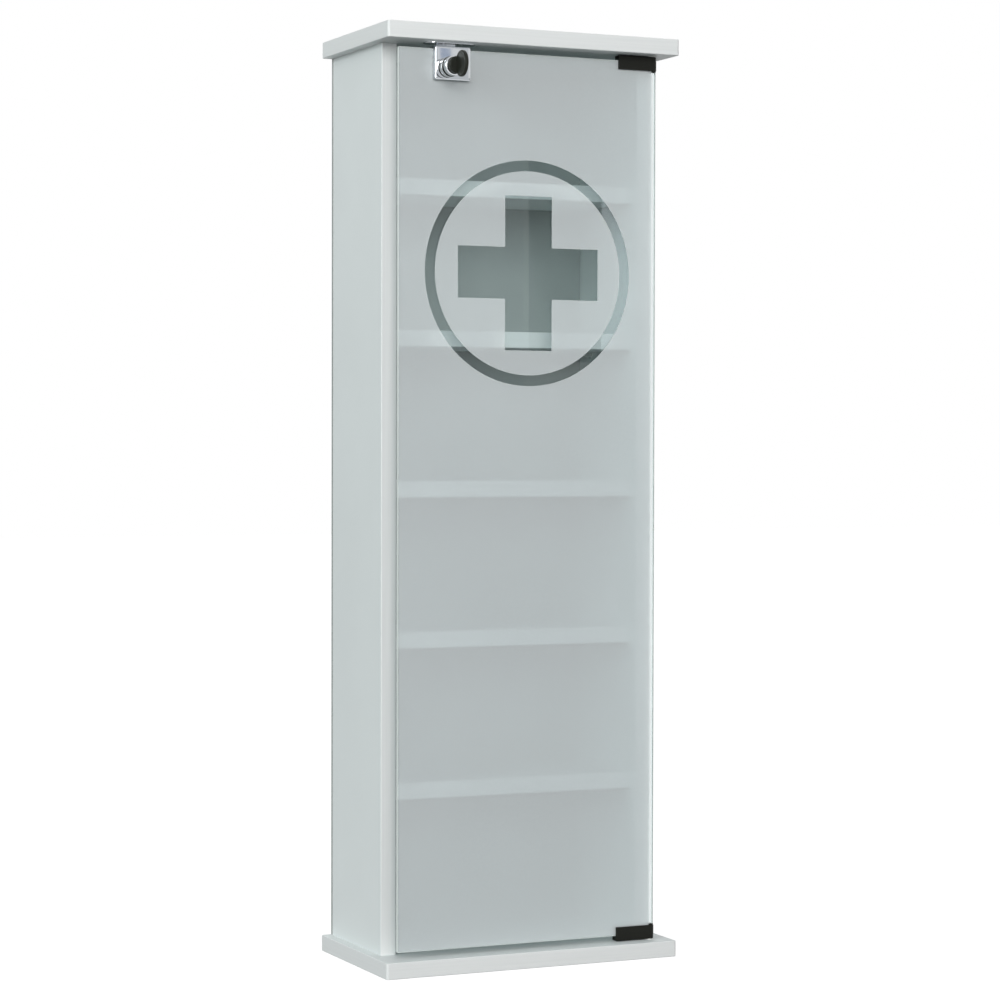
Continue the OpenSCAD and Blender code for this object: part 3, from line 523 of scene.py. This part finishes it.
def frosting(tree, colours):
    # Sandblast film on the front of the pane: white where it scatters the light back, and clear
    # enough for shelves behind it to show as soft pale bands. Its grain is drawn at 3 mm, as a
    # mottle that can just be seen.
    at = place(tree)
    grain = add(tree, "ShaderNodeTexNoise",
                {"Vector": at, "Scale": per(3), "Detail": 3.0}).outputs[0]
    clouds = add(tree, "ShaderNodeTexNoise",
                 {"Vector": at, "Scale": per(120), "Detail": 1.0}).outputs[0]
    tone = blend(tree, spread(tree, clouds, 0, 1), shade(colours.frosting, 0.96),
                 colours.frosting)
    white = add(tree, "ShaderNodeBsdfPrincipled", {
        "Base Color": blend(tree, spread(tree, grain, 0, 1), shade(colours.frosting, 0.985),
                            tone),
        "Roughness": spread(tree, grain, 0.50, 0.62),
        "Normal": relief(tree, grain, 0.02)})
    blurred = add(tree, "ShaderNodeBsdfRefraction",
                  {"Color": linear("#FFFFFF"), "Roughness": 0.15, "IOR": 1.45})
    blurred_share = 0.66
    both = add(tree, "ShaderNodeMixShader",
               {0: blurred_share, 1: white.outputs[0], 2: blurred.outputs[0]})
    lit_through(tree, both.outputs[0], linear("#D0D4D5"), white_outside=True)


ALONG = 0.02            # how much a pattern's scale shrinks along the grain of the banding
FINISHES = {
    "board": ("White melamine faces", melamine_faces),
    "band_along_x": ("Edge banding along X", banding((ALONG, 1, 1))),
    "band_along_y": ("Edge banding along Y", banding((1, ALONG, 1))),
    "band_along_z": ("Edge banding along Z", banding((1, 1, ALONG))),
    "hardboard": ("Lacquered hardboard", hardboard),
    "beech": ("Turned beech", beech),
    "plated_steel": ("Zinc-plated steel", plated_steel),
    "cast_zinc": ("Zinc casting", cast_zinc),
    "bright_chrome": ("Bright chrome plate", bright_chrome),
    "black_enamel": ("Black powder coat", black_enamel),
    "black_plastic": ("Black moulded nylon", black_plastic),
    "white_plastic": ("White moulded nylon", white_plastic),
    "grey_rubber": ("Grey rubber", grey_rubber),
    "clear_glass": ("Clear float glass", clear_glass),
    "glass_arris": ("Polished glass edge", glass_arris),
    "frosting": ("Frosted film", frosting),
}


def finish(slot):
    """The material for a slot, made once."""
    name, build = FINISHES[slot]
    if name not in bpy.data.materials:
        build(empty_tree(bpy.data.materials.new(name)), bpy.context.scene.cabinet_colours)
    return bpy.data.materials[name]


# ---- Boards ----

EDGE_SEGMENTS = 3       # round a board's long edge

# The slot that the bolt rises into, through the strike plate and into the top panel: its front
# left and rear right corner, and how high it goes
BOLT_SLOT = ((-91.15 * MM, -72.7 * MM), (-78.35 * MM, -69.7 * MM))
BOLT_SLOT_TOP = 902.5 * MM


def node_box(node):
    """Lowest and highest corner of a CAD node."""
    low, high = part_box(node)
    return Vector(low), Vector(high)


def bolt_slot(start, end):
    """The cutter for the bolt's slot, between two heights."""
    front_left, rear_right = BOLT_SLOT
    return block((*front_left, start), (*rear_right, end))


def front_band(face, turned_forward=-0.3):
    """0 for a board's faces, and 1 for its banded front edge with the rounding."""
    return 1 if face.normal.y < turned_forward else 0


def end_panel_band(face, turned_up=0.9):
    """0 for the flat faces, 1 for an edge that runs along X, and 2 for one along Y."""
    if abs(face.normal.z) > turned_up:
        return 0
    return 1 if abs(face.normal.y) > abs(face.normal.x) else 2


class CABINET_OT_end_panels(bpy.types.Operator):
    """Top and bottom panel, with rounded corners, banded edges, and the holes for pins and bolt"""
    bl_idname = "cabinet.end_panels"
    bl_label = "Top and bottom panel"

    def execute(self, context):
        sizes = context.scene.cabinet_sizes
        flange = 0.6 * MM
        for end in ("top", "bottom"):
            low, high = node_box(f"{end}_panel")
            bm = block(low, high)
            soften(bm, along(bm, Z), sizes.board_corner, segments=5)
            soften(bm, sharp(bm), sizes.board_edge, EDGE_SEGMENTS)
            ob = loose(f"{end}_board", bm)
            bush_low, bush_high = node_box(f"{end}_bush")
            middle = (bush_low + bush_high) / 2
            radius = (bush_high.x - bush_low.x) / 2 - flange
            if end == "top":
                cutters = [bar(middle, radius, bush_low.z - PAST, bush_high.z, Z),
                           bolt_slot(low.z - PAST, BOLT_SLOT_TOP)]
            else:
                cutters = [bar(middle, radius, bush_low.z, high.z + PAST, Z)]
            carve(ob, cutters)
            finish_piece(ob, f"{end}_panel", ("board", "band_along_x", "band_along_y"),
                         end_panel_band)
        return {"FINISHED"}


class CABINET_OT_side_panels(bpy.types.Operator):
    """Left and right side panel, with banded front edges and the recesses behind the hangers"""
    bl_idname = "cabinet.side_panels"
    bl_label = "Side panels"

    def execute(self, context):
        sizes = context.scene.cabinet_sizes
        hole_height = 25 * MM           # the keyhole's round part above the hanger's lower edge
        recess_radius, recess_depth = 4.7 * MM, 6 * MM
        slot_height, slot_depth = 10 * MM, 4 * MM
        for side in ("left", "right"):
            low, high = node_box(f"{side}_side_panel")
            bm = block(low, high)
            soften(bm, along(bm, Z), sizes.board_edge, EDGE_SEGMENTS)
            ob = loose(f"{side}_board", bm)
            hanger_low, hanger_high = node_box(f"{side}_hanger")
            x, z = (hanger_low.x + hanger_high.x) / 2, hanger_low.z + hole_height
            back = high.y + PAST
            carve(ob, [bar((x, 0, z), recess_radius, high.y - recess_depth, back),
                       block((x - recess_radius, high.y - slot_depth, z),
                             (x + recess_radius, back, z + slot_height))])
            finish_piece(ob, f"{side}_side_panel", ("board", "band_along_z"), front_band)
        return {"FINISHED"}


class CABINET_OT_back_panel(bpy.types.Operator):
    """Back panel, with a window round each hanger"""
    bl_idname = "cabinet.back_panel"
    bl_label = "Back panel"

    def execute(self, context):
        ob = loose("back_board", block(*node_box("back_panel")))
        room = Vector((0.3, 3, 0.3)) * MM       # round a hanger, and right through the board
        windows = []
        for side in ("left", "right"):
            hanger_low, hanger_high = node_box(f"{side}_hanger")
            windows.append(block(hanger_low - room, hanger_high + room))
        carve(ob, windows)
        finish_piece(ob, "back_panel", ("hardboard",), smooth=0)
        return {"FINISHED"}


class CABINET_OT_shelves(bpy.types.Operator):
    """Five shelves, each with a banded front edge"""
    bl_idname = "cabinet.shelves"
    bl_label = "Shelves"

    def execute(self, context):
        for level in range(1, 6):
            bm = block(*node_box(f"shelf_{level}"))
            soften(bm, sharp(bm), context.scene.cabinet_sizes.board_edge, EDGE_SEGMENTS)
            finish_piece(loose(f"shelf_board_{level}", bm), f"shelf_{level}",
                         ("board", "band_along_x"), front_band)
        return {"FINISHED"}


# ---- Door ----

def pane_arris(face, turned_forward=0.99):
    """0 for the pane's front and back, and 1 for its edges."""
    return 0 if abs(face.normal.y) > turned_forward else 1


class CABINET_OT_glass_door(bpy.types.Operator):
    """The pane, with ground corners and polished edges"""
    bl_idname = "cabinet.glass_door"
    bl_label = "Glass door"

    def execute(self, context):
        sizes = context.scene.cabinet_sizes
        bm = block(*node_box("glass_door"))
        soften(bm, along(bm, Y), sizes.glass_corner, segments=4)
        soften(bm, sharp(bm), sizes.glass_edge, segments=2)
        finish_piece(loose("glass_pane", bm), "glass_door", ("clear_glass", "glass_arris"),
                     pane_arris)
        return {"FINISHED"}


class CABINET_OT_frosting(bpy.types.Operator):
    """Frosted film with a clear ring and a clear cross"""
    bl_idname = "cabinet.frosting"
    bl_label = "Frosting"

    def execute(self, context):
        sizes = context.scene.cabinet_sizes
        ring_segments = 256
        share = 0.85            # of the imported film's thickness, so that its back clears the pane
        low, high = node_box("frosted_film")
        bm = bmesh.new()
        middle = (Matrix.Translation((0, low.y, sizes.sign_height))
                  @ Matrix.Rotation(pi / 2, 4, "X"))

        def ring(radius):
            verts = bmesh.ops.create_circle(bm, cap_ends=False, radius=radius,
                                            segments=ring_segments, matrix=middle)["verts"]
            return list({e for v in verts for e in v.link_edges})

        def outline(points):
            verts = [bm.verts.new((x, low.y, z)) for x, z in points]
            return [bm.edges.new(pair) for pair in zip(verts, verts[1:] + verts[:1])]

        sheet = outline([(low.x, low.z), (high.x, low.z), (high.x, high.z), (low.x, high.z)])
        bmesh.ops.triangle_fill(bm, use_beauty=True, edges=sheet + ring(sizes.ring_outer))
        reach, half = sizes.cross_reach, sizes.cross_half
        quarter = [(half, reach), (half, half), (reach, half)]
        corners = quarter + [(x, -y) for x, y in reversed(quarter)]
        corners += [(-x, -y) for x, y in quarter] + [(-x, y) for x, y in reversed(quarter)]
        cross = outline([(x, sizes.sign_height + y) for x, y in corners])
        bmesh.ops.triangle_fill(bm, use_beauty=True, edges=cross + ring(sizes.ring_inner))
        grown = bmesh.ops.extrude_face_region(bm, geom=bm.faces[:])["geom"]
        bmesh.ops.translate(bm, vec=(0, (high.y - low.y) * share, 0),
                            verts=[v for v in grown if isinstance(v, bmesh.types.BMVert)])
        bmesh.ops.recalc_face_normals(bm, faces=bm.faces)
        finish_piece(loose("frosting", bm), "frosted_film", ("frosting",), smooth=0)
        return {"FINISHED"}


class CABINET_OT_clamps(bpy.types.Operator):
    """Top and bottom pivot clamp, with a round end and a slot for the glass"""
    bl_idname = "cabinet.clamps"
    bl_label = "Pivot clamps"

    def execute(self, context):
        sizes = context.scene.cabinet_sizes
        end_rise, end_length = 1.3 * MM, 6.05 * MM      # how much taller the round end is
        flat_left = 0.05 * MM                           # half the flat between its roundings
        screws_low, screws_high = node_box("clamp_screws")
        for end in ("top", "bottom"):
            low, high = node_box(f"{end}_clamp")
            liner_low, liner_high = node_box(f"{end}_clamp_liner")
            bm = block(low, high)
            round_end = [e for e in along(bm, Z) if e.verts[0].co.x > (low.x + high.x) / 2]
            soften(bm, round_end, (high.y - low.y) / 2 - flat_left, segments=10)
            bmesh.ops.remove_doubles(bm, verts=bm.verts, dist=TINY)
            soften(bm, sharp(bm), sizes.clamp_edge, segments=3)
            ob = loose(f"{end}_pivot_clamp", bm)
            if end == "top":
                step = low.z - PAST, low.z + end_rise
                slot = low.z - PAST, liner_high.z
                z = screws_high.z - sizes.screw_radius
            else:
                step = high.z - end_rise, high.z + PAST
                slot = liner_low.z, high.z + PAST
                z = screws_low.z + sizes.screw_radius
            left = low.x - PAST
            cutters = [block((left, low.y - PAST, step[0]),
                             (high.x - end_length, high.y + PAST, step[1])),
                       block((left, liner_low.y, slot[0]),
                             (high.x + PAST, liner_high.y, slot[1]))]
            for x in (screws_low.x + sizes.screw_radius, screws_high.x - sizes.screw_radius):
                cutters.append(bar((x, 0, z), sizes.screw_radius, liner_high.y - PAST,
                                   high.y + PAST))
            carve(ob, cutters)
            finish_piece(ob, f"{end}_clamp", ("black_enamel",), smooth=35)
        return {"FINISHED"}


# ---- Lock ----

LOCK = Vector((-91, 0, 874.2)) * MM     # the lock's axis runs along Y through here
NECK_RADIUS = 7.5                       # in millimetres, of the barrel's neck in the case's front


def lock_housing(sizes):
    """The case, with the strap over the pane's edge, the jaw behind it, and the hollows."""
    low, high = node_box("lock_case")
    cover_low, cover_high = node_box("lock_cover")
    bolt_low, bolt_high = node_box("lock_bolt")
    screws_low, screws_high = node_box("lock_screws")
    plate_low, plate_high = node_box("lock_pressure_plate")

    shell_back = low.y + 6.2 * MM
    bm = block(low, (high.x, shell_back, high.z))
    soften(bm, along(bm, Y), sizes.case_corner, segments=5)
    front_edges = [e for e in sharp(bm) if all(v.co.y < low.y + TINY for v in e.verts)]
    soften(bm, front_edges, sizes.case_edge, segments=4)
    crown(bm, low, high, sizes.case_edge, sizes.case_crown)
    ob = loose("lock_housing", bm)

    inset, hair = 0.02 * MM, 0.01 * MM          # keep faces of the parts from lying in one plane
    strap_front, strap_thickness = low.y + 3.1 * MM, 1.5 * MM
    rear_corner = (high.x - inset, high.y, high.z - hair)
    strap = block((low.x + inset, strap_front, high.z - strap_thickness), rear_corner)
    jaw = block((low.x + inset, plate_high.y, plate_low.z), rear_corner)
    carve(ob, [strap, jaw], "UNION")

    wall, roof = 1.4 * MM, 3 * MM
    neck_play = 0.1 * MM
    bolt_x, bolt_half, bolt_play, bolt_depth = -84.75 * MM, 6 * MM, 0.25 * MM, 6 * MM
    cutters = [
        block((low.x + wall, low.y + wall, low.z + wall),
              (high.x - wall, cover_low.y + hair, high.z - roof)),
        block(cover_low - Vector((hair, hair, hair)),
              (cover_high.x, shell_back + PAST, cover_high.z)),
        bar(LOCK, NECK_RADIUS * MM, low.y - PAST, low.y + wall + neck_play),
        block((bolt_x - bolt_half - bolt_play, bolt_low.y - bolt_play, high.z - bolt_depth),
              (bolt_x + bolt_half + bolt_play, bolt_high.y + bolt_play, high.z + PAST)),
    ]
    z = (screws_low.z + screws_high.z) / 2
    for x in (screws_low.x + sizes.screw_radius, screws_high.x - sizes.screw_radius):
        cutters.append(bar((x, 0, z), sizes.screw_radius, plate_high.y - PAST, high.y + PAST))
    carve(ob, cutters)
    finish_piece(ob, "lock_case", ("bright_chrome",), smooth=35)


def lock_cylinder(sizes):
    """The barrel: a turned tube with two grooves, whose black is a painted dark reflection. Its
    sizes are in millimetres.
    """
    nose, body, groove, bore = 9.5, 10, 8.4, 6.05
    front, shoulder, seat, rear = -96.5, -75.5, -74.1, -73.3
    chamfer, step, edge = 0.8, 0.7, 0.2
    grooves = ((-90.2, -87.2), (-81.6, -78.4))
    profile = [(bore, front), (nose - chamfer, front), (nose, front + chamfer)]
    outside = nose
    for start, end in grooves:
        profile += [(outside, start), (groove, start), (groove, end), (body, end)]
        outside = body
    profile += [(body, shoulder), (NECK_RADIUS, shoulder), (NECK_RADIUS, seat),
                (NECK_RADIUS - step, seat), (NECK_RADIUS - step, rear), (bore, rear)]
    bm = lathe(profile, LOCK, Y, sizes.round_segments)
    soften(bm, sharp(bm), edge * MM, segments=2)
    inside, rim, margin = 8, 9.8, 0.02

    def painted_reflection_groove(face):
        """1 for the floor and walls of the grooves, which are black as a painted dark reflection.
        """
        out = (Vector((face.center.x, 0, face.center.z)) - LOCK).length
        in_groove = any(start - margin < face.center.y / MM < end + margin
                        for start, end in grooves)
        return 1 if in_groove and inside * MM < out < rim * MM else 0
    # The grooves take black plastic as a painted dark reflection in the chrome
    finish_piece(loose("lock_cylinder", bm), "lock_barrel", ("bright_chrome", "black_plastic"),
                 painted_reflection_groove, smooth=35)


class CABINET_OT_lock(bpy.types.Operator):
    """Lock case with its strap and rear jaw, and the turned barrel"""
    bl_idname = "cabinet.lock"
    bl_label = "Cam lock"

    def execute(self, context):
        lock_housing(context.scene.cabinet_sizes)
        lock_cylinder(context.scene.cabinet_sizes)
        return {"FINISHED"}


class CABINET_OT_key(bpy.types.Operator):
    """Moulded key head: a hub next to the lock and a round grip with raised rims"""
    bl_idname = "cabinet.key"
    bl_label = "Key head"

    def execute(self, context):
        steps = context.scene.cabinet_sizes.round_segments
        corner_angle, hub_edge, grip_edge = 30, 0.3 * MM, 0.2 * MM
        hub = [(0, -103), (7.5, -103), (8.3, -102.2), (8.3, -98), (7.8, -97.5), (0, -97.5)]
        bm = lathe(hub, LOCK, Y, steps, closed=False)
        soften(bm, sharp(bm, corner_angle), hub_edge, segments=2)
        grip_middle = -112.9
        grip = [(0, -1.4), (10.4, -1.4), (10.7, -1.7), (12.0, -1.7), (12.6, -1.1),
                (12.6, 1.1), (12.0, 1.7), (10.7, 1.7), (10.4, 1.4), (0, 1.4)]
        disc = lathe(grip, LOCK + Y * grip_middle * MM, X, steps, closed=False)
        soften(disc, sharp(disc, corner_angle), grip_edge, segments=2)
        ob = loose("key_grip", bm)
        carve(ob, [disc], "UNION")
        finish_piece(ob, "key_head", ("black_plastic",), smooth=35)
        return {"FINISHED"}


class CABINET_OT_strike_plate(bpy.types.Operator):
    """Strike plate under the top panel, with the bolt's slot and a bent lip"""
    bl_idname = "cabinet.strike_plate"
    bl_label = "Strike plate"

    def execute(self, context):
        low, high = node_box("strike_plate")
        middle = (low.x + high.x) / 2
        thickness, end_radius = 1.2 * MM, 9 * MM
        underside = high.z - thickness
        bm = block((low.x, low.y, underside), high)
        soften(bm, along(bm, Z), end_radius, segments=10)
        ob = loose("strike", bm)

        lip_half, lip_front, lip_back = 10 * MM, -59.8 * MM, -58.6 * MM
        lip_corner, lip_overlap = 2 * MM, 0.5 * MM
        lip = block((middle - lip_half, lip_front, low.z),
                    (middle + lip_half, lip_back, underside + lip_overlap))
        soften(lip, [e for e in along(lip, Y) if e.verts[0].co.z < underside], lip_corner,
               segments=4)
        carve(ob, [lip], "UNION")

        rim_back, rim_radius = -60 * MM, 0.3 * MM
        bm = bmesh.new()
        bm.from_mesh(ob.data)
        bmesh.ops.dissolve_limit(bm, angle_limit=radians(1), verts=bm.verts, edges=bm.edges)
        rim = [e for e in sharp(bm)
               if all(abs(v.co.z - underside) < TINY and v.co.y < rim_back for v in e.verts)]
        soften(bm, rim, rim_radius, segments=2)
        bm.to_mesh(ob.data)
        bm.free()

        screw_offset, screw_y, head_radius = 10.5 * MM, -71.2 * MM, 2.72 * MM
        start, end = underside - PAST, high.z + PAST
        holes = [bar((x, screw_y, 0), head_radius, start, end, Z)
                 for x in (middle - screw_offset, middle + screw_offset)]
        carve(ob, [bolt_slot(start, end)] + holes)
        finish_piece(ob, "strike_plate", ("bright_chrome",), smooth=35)
        return {"FINISHED"}


class CABINET_OT_fittings(bpy.types.Operator):
    """Finishes for the fittings that keep their CAD shapes"""
    bl_idname = "cabinet.fittings"
    bl_label = "Fittings"

    def execute(self, context):
        for ob in frame["nodes"].values():
            slot = ob.data.materials[0].name.split(".")[0]
            ob.data.materials[0] = finish(slot)
        return {"FINISHED"}


# ---- Stage ----

# The camera is fitted to the edges of the carcass in the photograph: place in metres, angles in
# degrees, and the lens for a sensor that wide, in millimetres
CAMERA_PLACE = (-1.18053, -2.58680, 0.51495)
CAMERA_YAW, CAMERA_PITCH, CAMERA_ROLL = 24.5534, -1.1816, 0.1246
CAMERA_LENS, CAMERA_SENSOR = 102.105, 36
CAMERA_FAR = 100

# Cards that only the glass and the lock mirror: name, left, right, low, high, place on Y, colour
# and strength
CARDS = (
    ("grey card", 0.3, 1.594, -0.4, 2.8, -3.5, "#DCDFE2", 1.0),
    ("black card", 1.608, 1.797, 0.70, 1.22, -3.5, "#101214", 1.0),
    ("bright card", 1.797, 1.93, 0.70, 1.22, -3.5, "#F4F8FF", 3.2),
    ("window frame", 1.22, 1.50, 1.30, 1.62, -3.49, "#FFFFFF", 1.0),
    ("window pane", 1.29, 1.385, 1.38, 1.56, -3.48, "#B3BFD4", 1.0),
)


def background_or(tree, seen, otherwise):
    """One shader for what is seen, mirrored or through glass too, and one for the light."""
    path = add(tree, "ShaderNodeLightPath")
    mirrored = add(tree, "ShaderNodeMath",
                   {0: path.outputs["Is Camera Ray"], 1: path.outputs["Is Glossy Ray"]},
                   operation="MAXIMUM").outputs[0]
    shown = add(tree, "ShaderNodeMath",
                {0: mirrored, 1: path.outputs["Is Transmission Ray"]},
                operation="MAXIMUM").outputs[0]
    return add(tree, "ShaderNodeMixShader", {0: shown, 1: otherwise, 2: seen}).outputs[0]


def softbox(name, at, towards, width, height, power, hex_colour="#FFFFFF"):
    """A rectangular softbox that faces a point."""
    lamp = bpy.data.lights.new(name, "AREA")
    lamp.shape, lamp.size, lamp.size_y, lamp.energy = "RECTANGLE", width, height, power
    lamp.color = linear(hex_colour)[:3]
    ob = bpy.data.objects.new(name, lamp)
    ob.location = at
    ob.rotation_euler = (Vector(towards) - Vector(at)).to_track_quat("-Z", "Y").to_euler()
    bpy.context.scene.collection.objects.link(ob)


def card(name, left, right, low, high, at, hex_colour, strength):
    """An upright card of even brightness that only mirrors show."""
    bm = bmesh.new()
    bmesh.ops.create_grid(bm, x_segments=1, y_segments=1, size=0.5, matrix=Matrix.Translation(
        ((left + right) / 2, at, (low + high) / 2)) @ Matrix.Rotation(-pi / 2, 4, "X")
        @ Matrix.Diagonal((right - left, high - low, 1, 1)))
    ob = loose(name, bm)
    material = bpy.data.materials.new(name)
    tree = empty_tree(material)
    glow = add(tree, "ShaderNodeEmission", {"Color": linear(hex_colour), "Strength": strength})
    add(tree, "ShaderNodeOutputMaterial", {"Surface": glow.outputs[0]})
    ob.data.materials.append(material)
    ob.visible_camera = ob.visible_shadow = ob.visible_diffuse = ob.visible_transmission = False


def add_camera(scene):
    """The camera at the photograph's angle."""
    yaw, pitch, roll = radians(CAMERA_YAW), radians(CAMERA_PITCH), radians(CAMERA_ROLL)
    ahead = Vector((sin(yaw) * cos(pitch), cos(yaw) * cos(pitch), sin(pitch)))
    level = Vector((cos(yaw), -sin(yaw), 0))
    upright = level.cross(ahead)
    right = level * cos(roll) + upright * sin(roll)
    up = upright * cos(roll) - level * sin(roll)
    data = bpy.data.cameras.new("camera")
    data.lens, data.sensor_width, data.sensor_fit = CAMERA_LENS, CAMERA_SENSOR, "HORIZONTAL"
    data.clip_end = CAMERA_FAR
    camera = bpy.data.objects.new("camera", data)
    camera.matrix_world = (Matrix.Translation(CAMERA_PLACE)
                           @ Matrix((right, up, -ahead)).transposed().to_4x4())
    scene.collection.objects.link(camera)
    scene.camera = camera


def add_floor():
    """A floor that looks white but for shadows, and sends back less light than it shows."""
    half_width, gap = 12, 0.2 * MM
    bm = bmesh.new()
    bmesh.ops.create_grid(bm, x_segments=8, y_segments=8, size=half_width,
                          matrix=Matrix.Translation((0, 0, CAD_BOUNDS[0][2] - gap)))
    floor = loose("floor", bm)
    material = bpy.data.materials.new("Pale studio floor")
    tree = empty_tree(material)
    matt = add(tree, "ShaderNodeBsdfDiffuse", {"Color": linear("#7A7A7A")})
    glow = add(tree, "ShaderNodeEmission", {"Color": linear("#FFFFFF"), "Strength": 0.96})
    white = add(tree, "ShaderNodeAddShader", {0: matt.outputs[0], 1: glow.outputs[0]})
    add(tree, "ShaderNodeOutputMaterial",
        {"Surface": background_or(tree, white.outputs[0], matt.outputs[0])})
    floor.data.materials.append(material)


def add_world(scene, strength):
    """A white background, and a weaker light from all round."""
    world = scene.world or bpy.data.worlds.new("world")
    scene.world = world
    tree = empty_tree(world)
    seen = add(tree, "ShaderNodeBackground", {"Color": linear("#FFFFFF"), "Strength": 1.0})
    room = add(tree, "ShaderNodeBackground", {"Color": linear("#FBFDFF"), "Strength": strength})
    add(tree, "ShaderNodeOutputWorld",
        {"Surface": background_or(tree, seen.outputs[0], room.outputs[0])})


class CABINET_OT_stage(bpy.types.Operator):
    """Camera at the photograph's angle, pale floor, soft lamps and a white background"""
    bl_idname = "cabinet.stage"
    bl_label = "Stage"

    def execute(self, context):
        scene, settings = context.scene, context.scene.cabinet_stage
        add_camera(scene)
        scene.view_settings.view_transform = "Standard"
        add_floor()
        add_world(scene, settings.ambient)
        cabinet_middle = (0, -0.06, 0.46)
        softbox("front softbox", at=(-1.6, -5.4, 2.0), towards=cabinet_middle,
                width=3.2, height=2.6, power=settings.key_power)
        softbox("side softbox", at=(-5.0, -1.4, 2.0), towards=cabinet_middle,
                width=2.6, height=2.6, power=settings.side_power, hex_colour="#F0FBFC")
        for values in CARDS:
            card(*values)
        return {"FINISHED"}


# ---- Add-on ----

STEPS = ("end_panels", "side_panels", "back_panel", "shelves", "glass_door", "frosting",
         "clamps", "lock", "key", "strike_plate", "fittings", "stage")


class CABINET_PT_panel(bpy.types.Panel):
    """Lists the steps that dress the cabinet"""
    bl_idname = "CABINET_PT_panel"
    bl_label = "Medicine cabinet"
    bl_space_type = "VIEW_3D"
    bl_region_type = "UI"
    bl_category = "Cabinet"

    def draw(self, context):
        for step in STEPS:
            self.layout.operator(f"cabinet.{step}")
        for group in GROUPS:
            box = self.layout.box()
            values = getattr(context.scene, group)
            for name in values.__annotations__:
                box.prop(values, name)


GROUPS = {"cabinet_sizes": CabinetSizes, "cabinet_colours": CabinetColours,
          "cabinet_stage": StageSettings}
CLASSES = (CabinetSizes, CabinetColours, StageSettings, CABINET_OT_end_panels,
           CABINET_OT_side_panels, CABINET_OT_back_panel, CABINET_OT_shelves,
           CABINET_OT_glass_door, CABINET_OT_frosting, CABINET_OT_clamps, CABINET_OT_lock,
           CABINET_OT_key, CABINET_OT_strike_plate, CABINET_OT_fittings, CABINET_OT_stage,
           CABINET_PT_panel)


def register():
    for cls in CLASSES:
        bpy.utils.register_class(cls)
    for name, group in GROUPS.items():
        setattr(bpy.types.Scene, name, PointerProperty(type=group))


def unregister():
    for name in GROUPS:
        delattr(bpy.types.Scene, name)
    for cls in reversed(CLASSES):
        bpy.utils.unregister_class(cls)


def main():
    register()
    for step in STEPS:
        getattr(bpy.ops.cabinet, step)()
    bpy.context.view_layer.update()


if __name__ == "__main__":
    main()
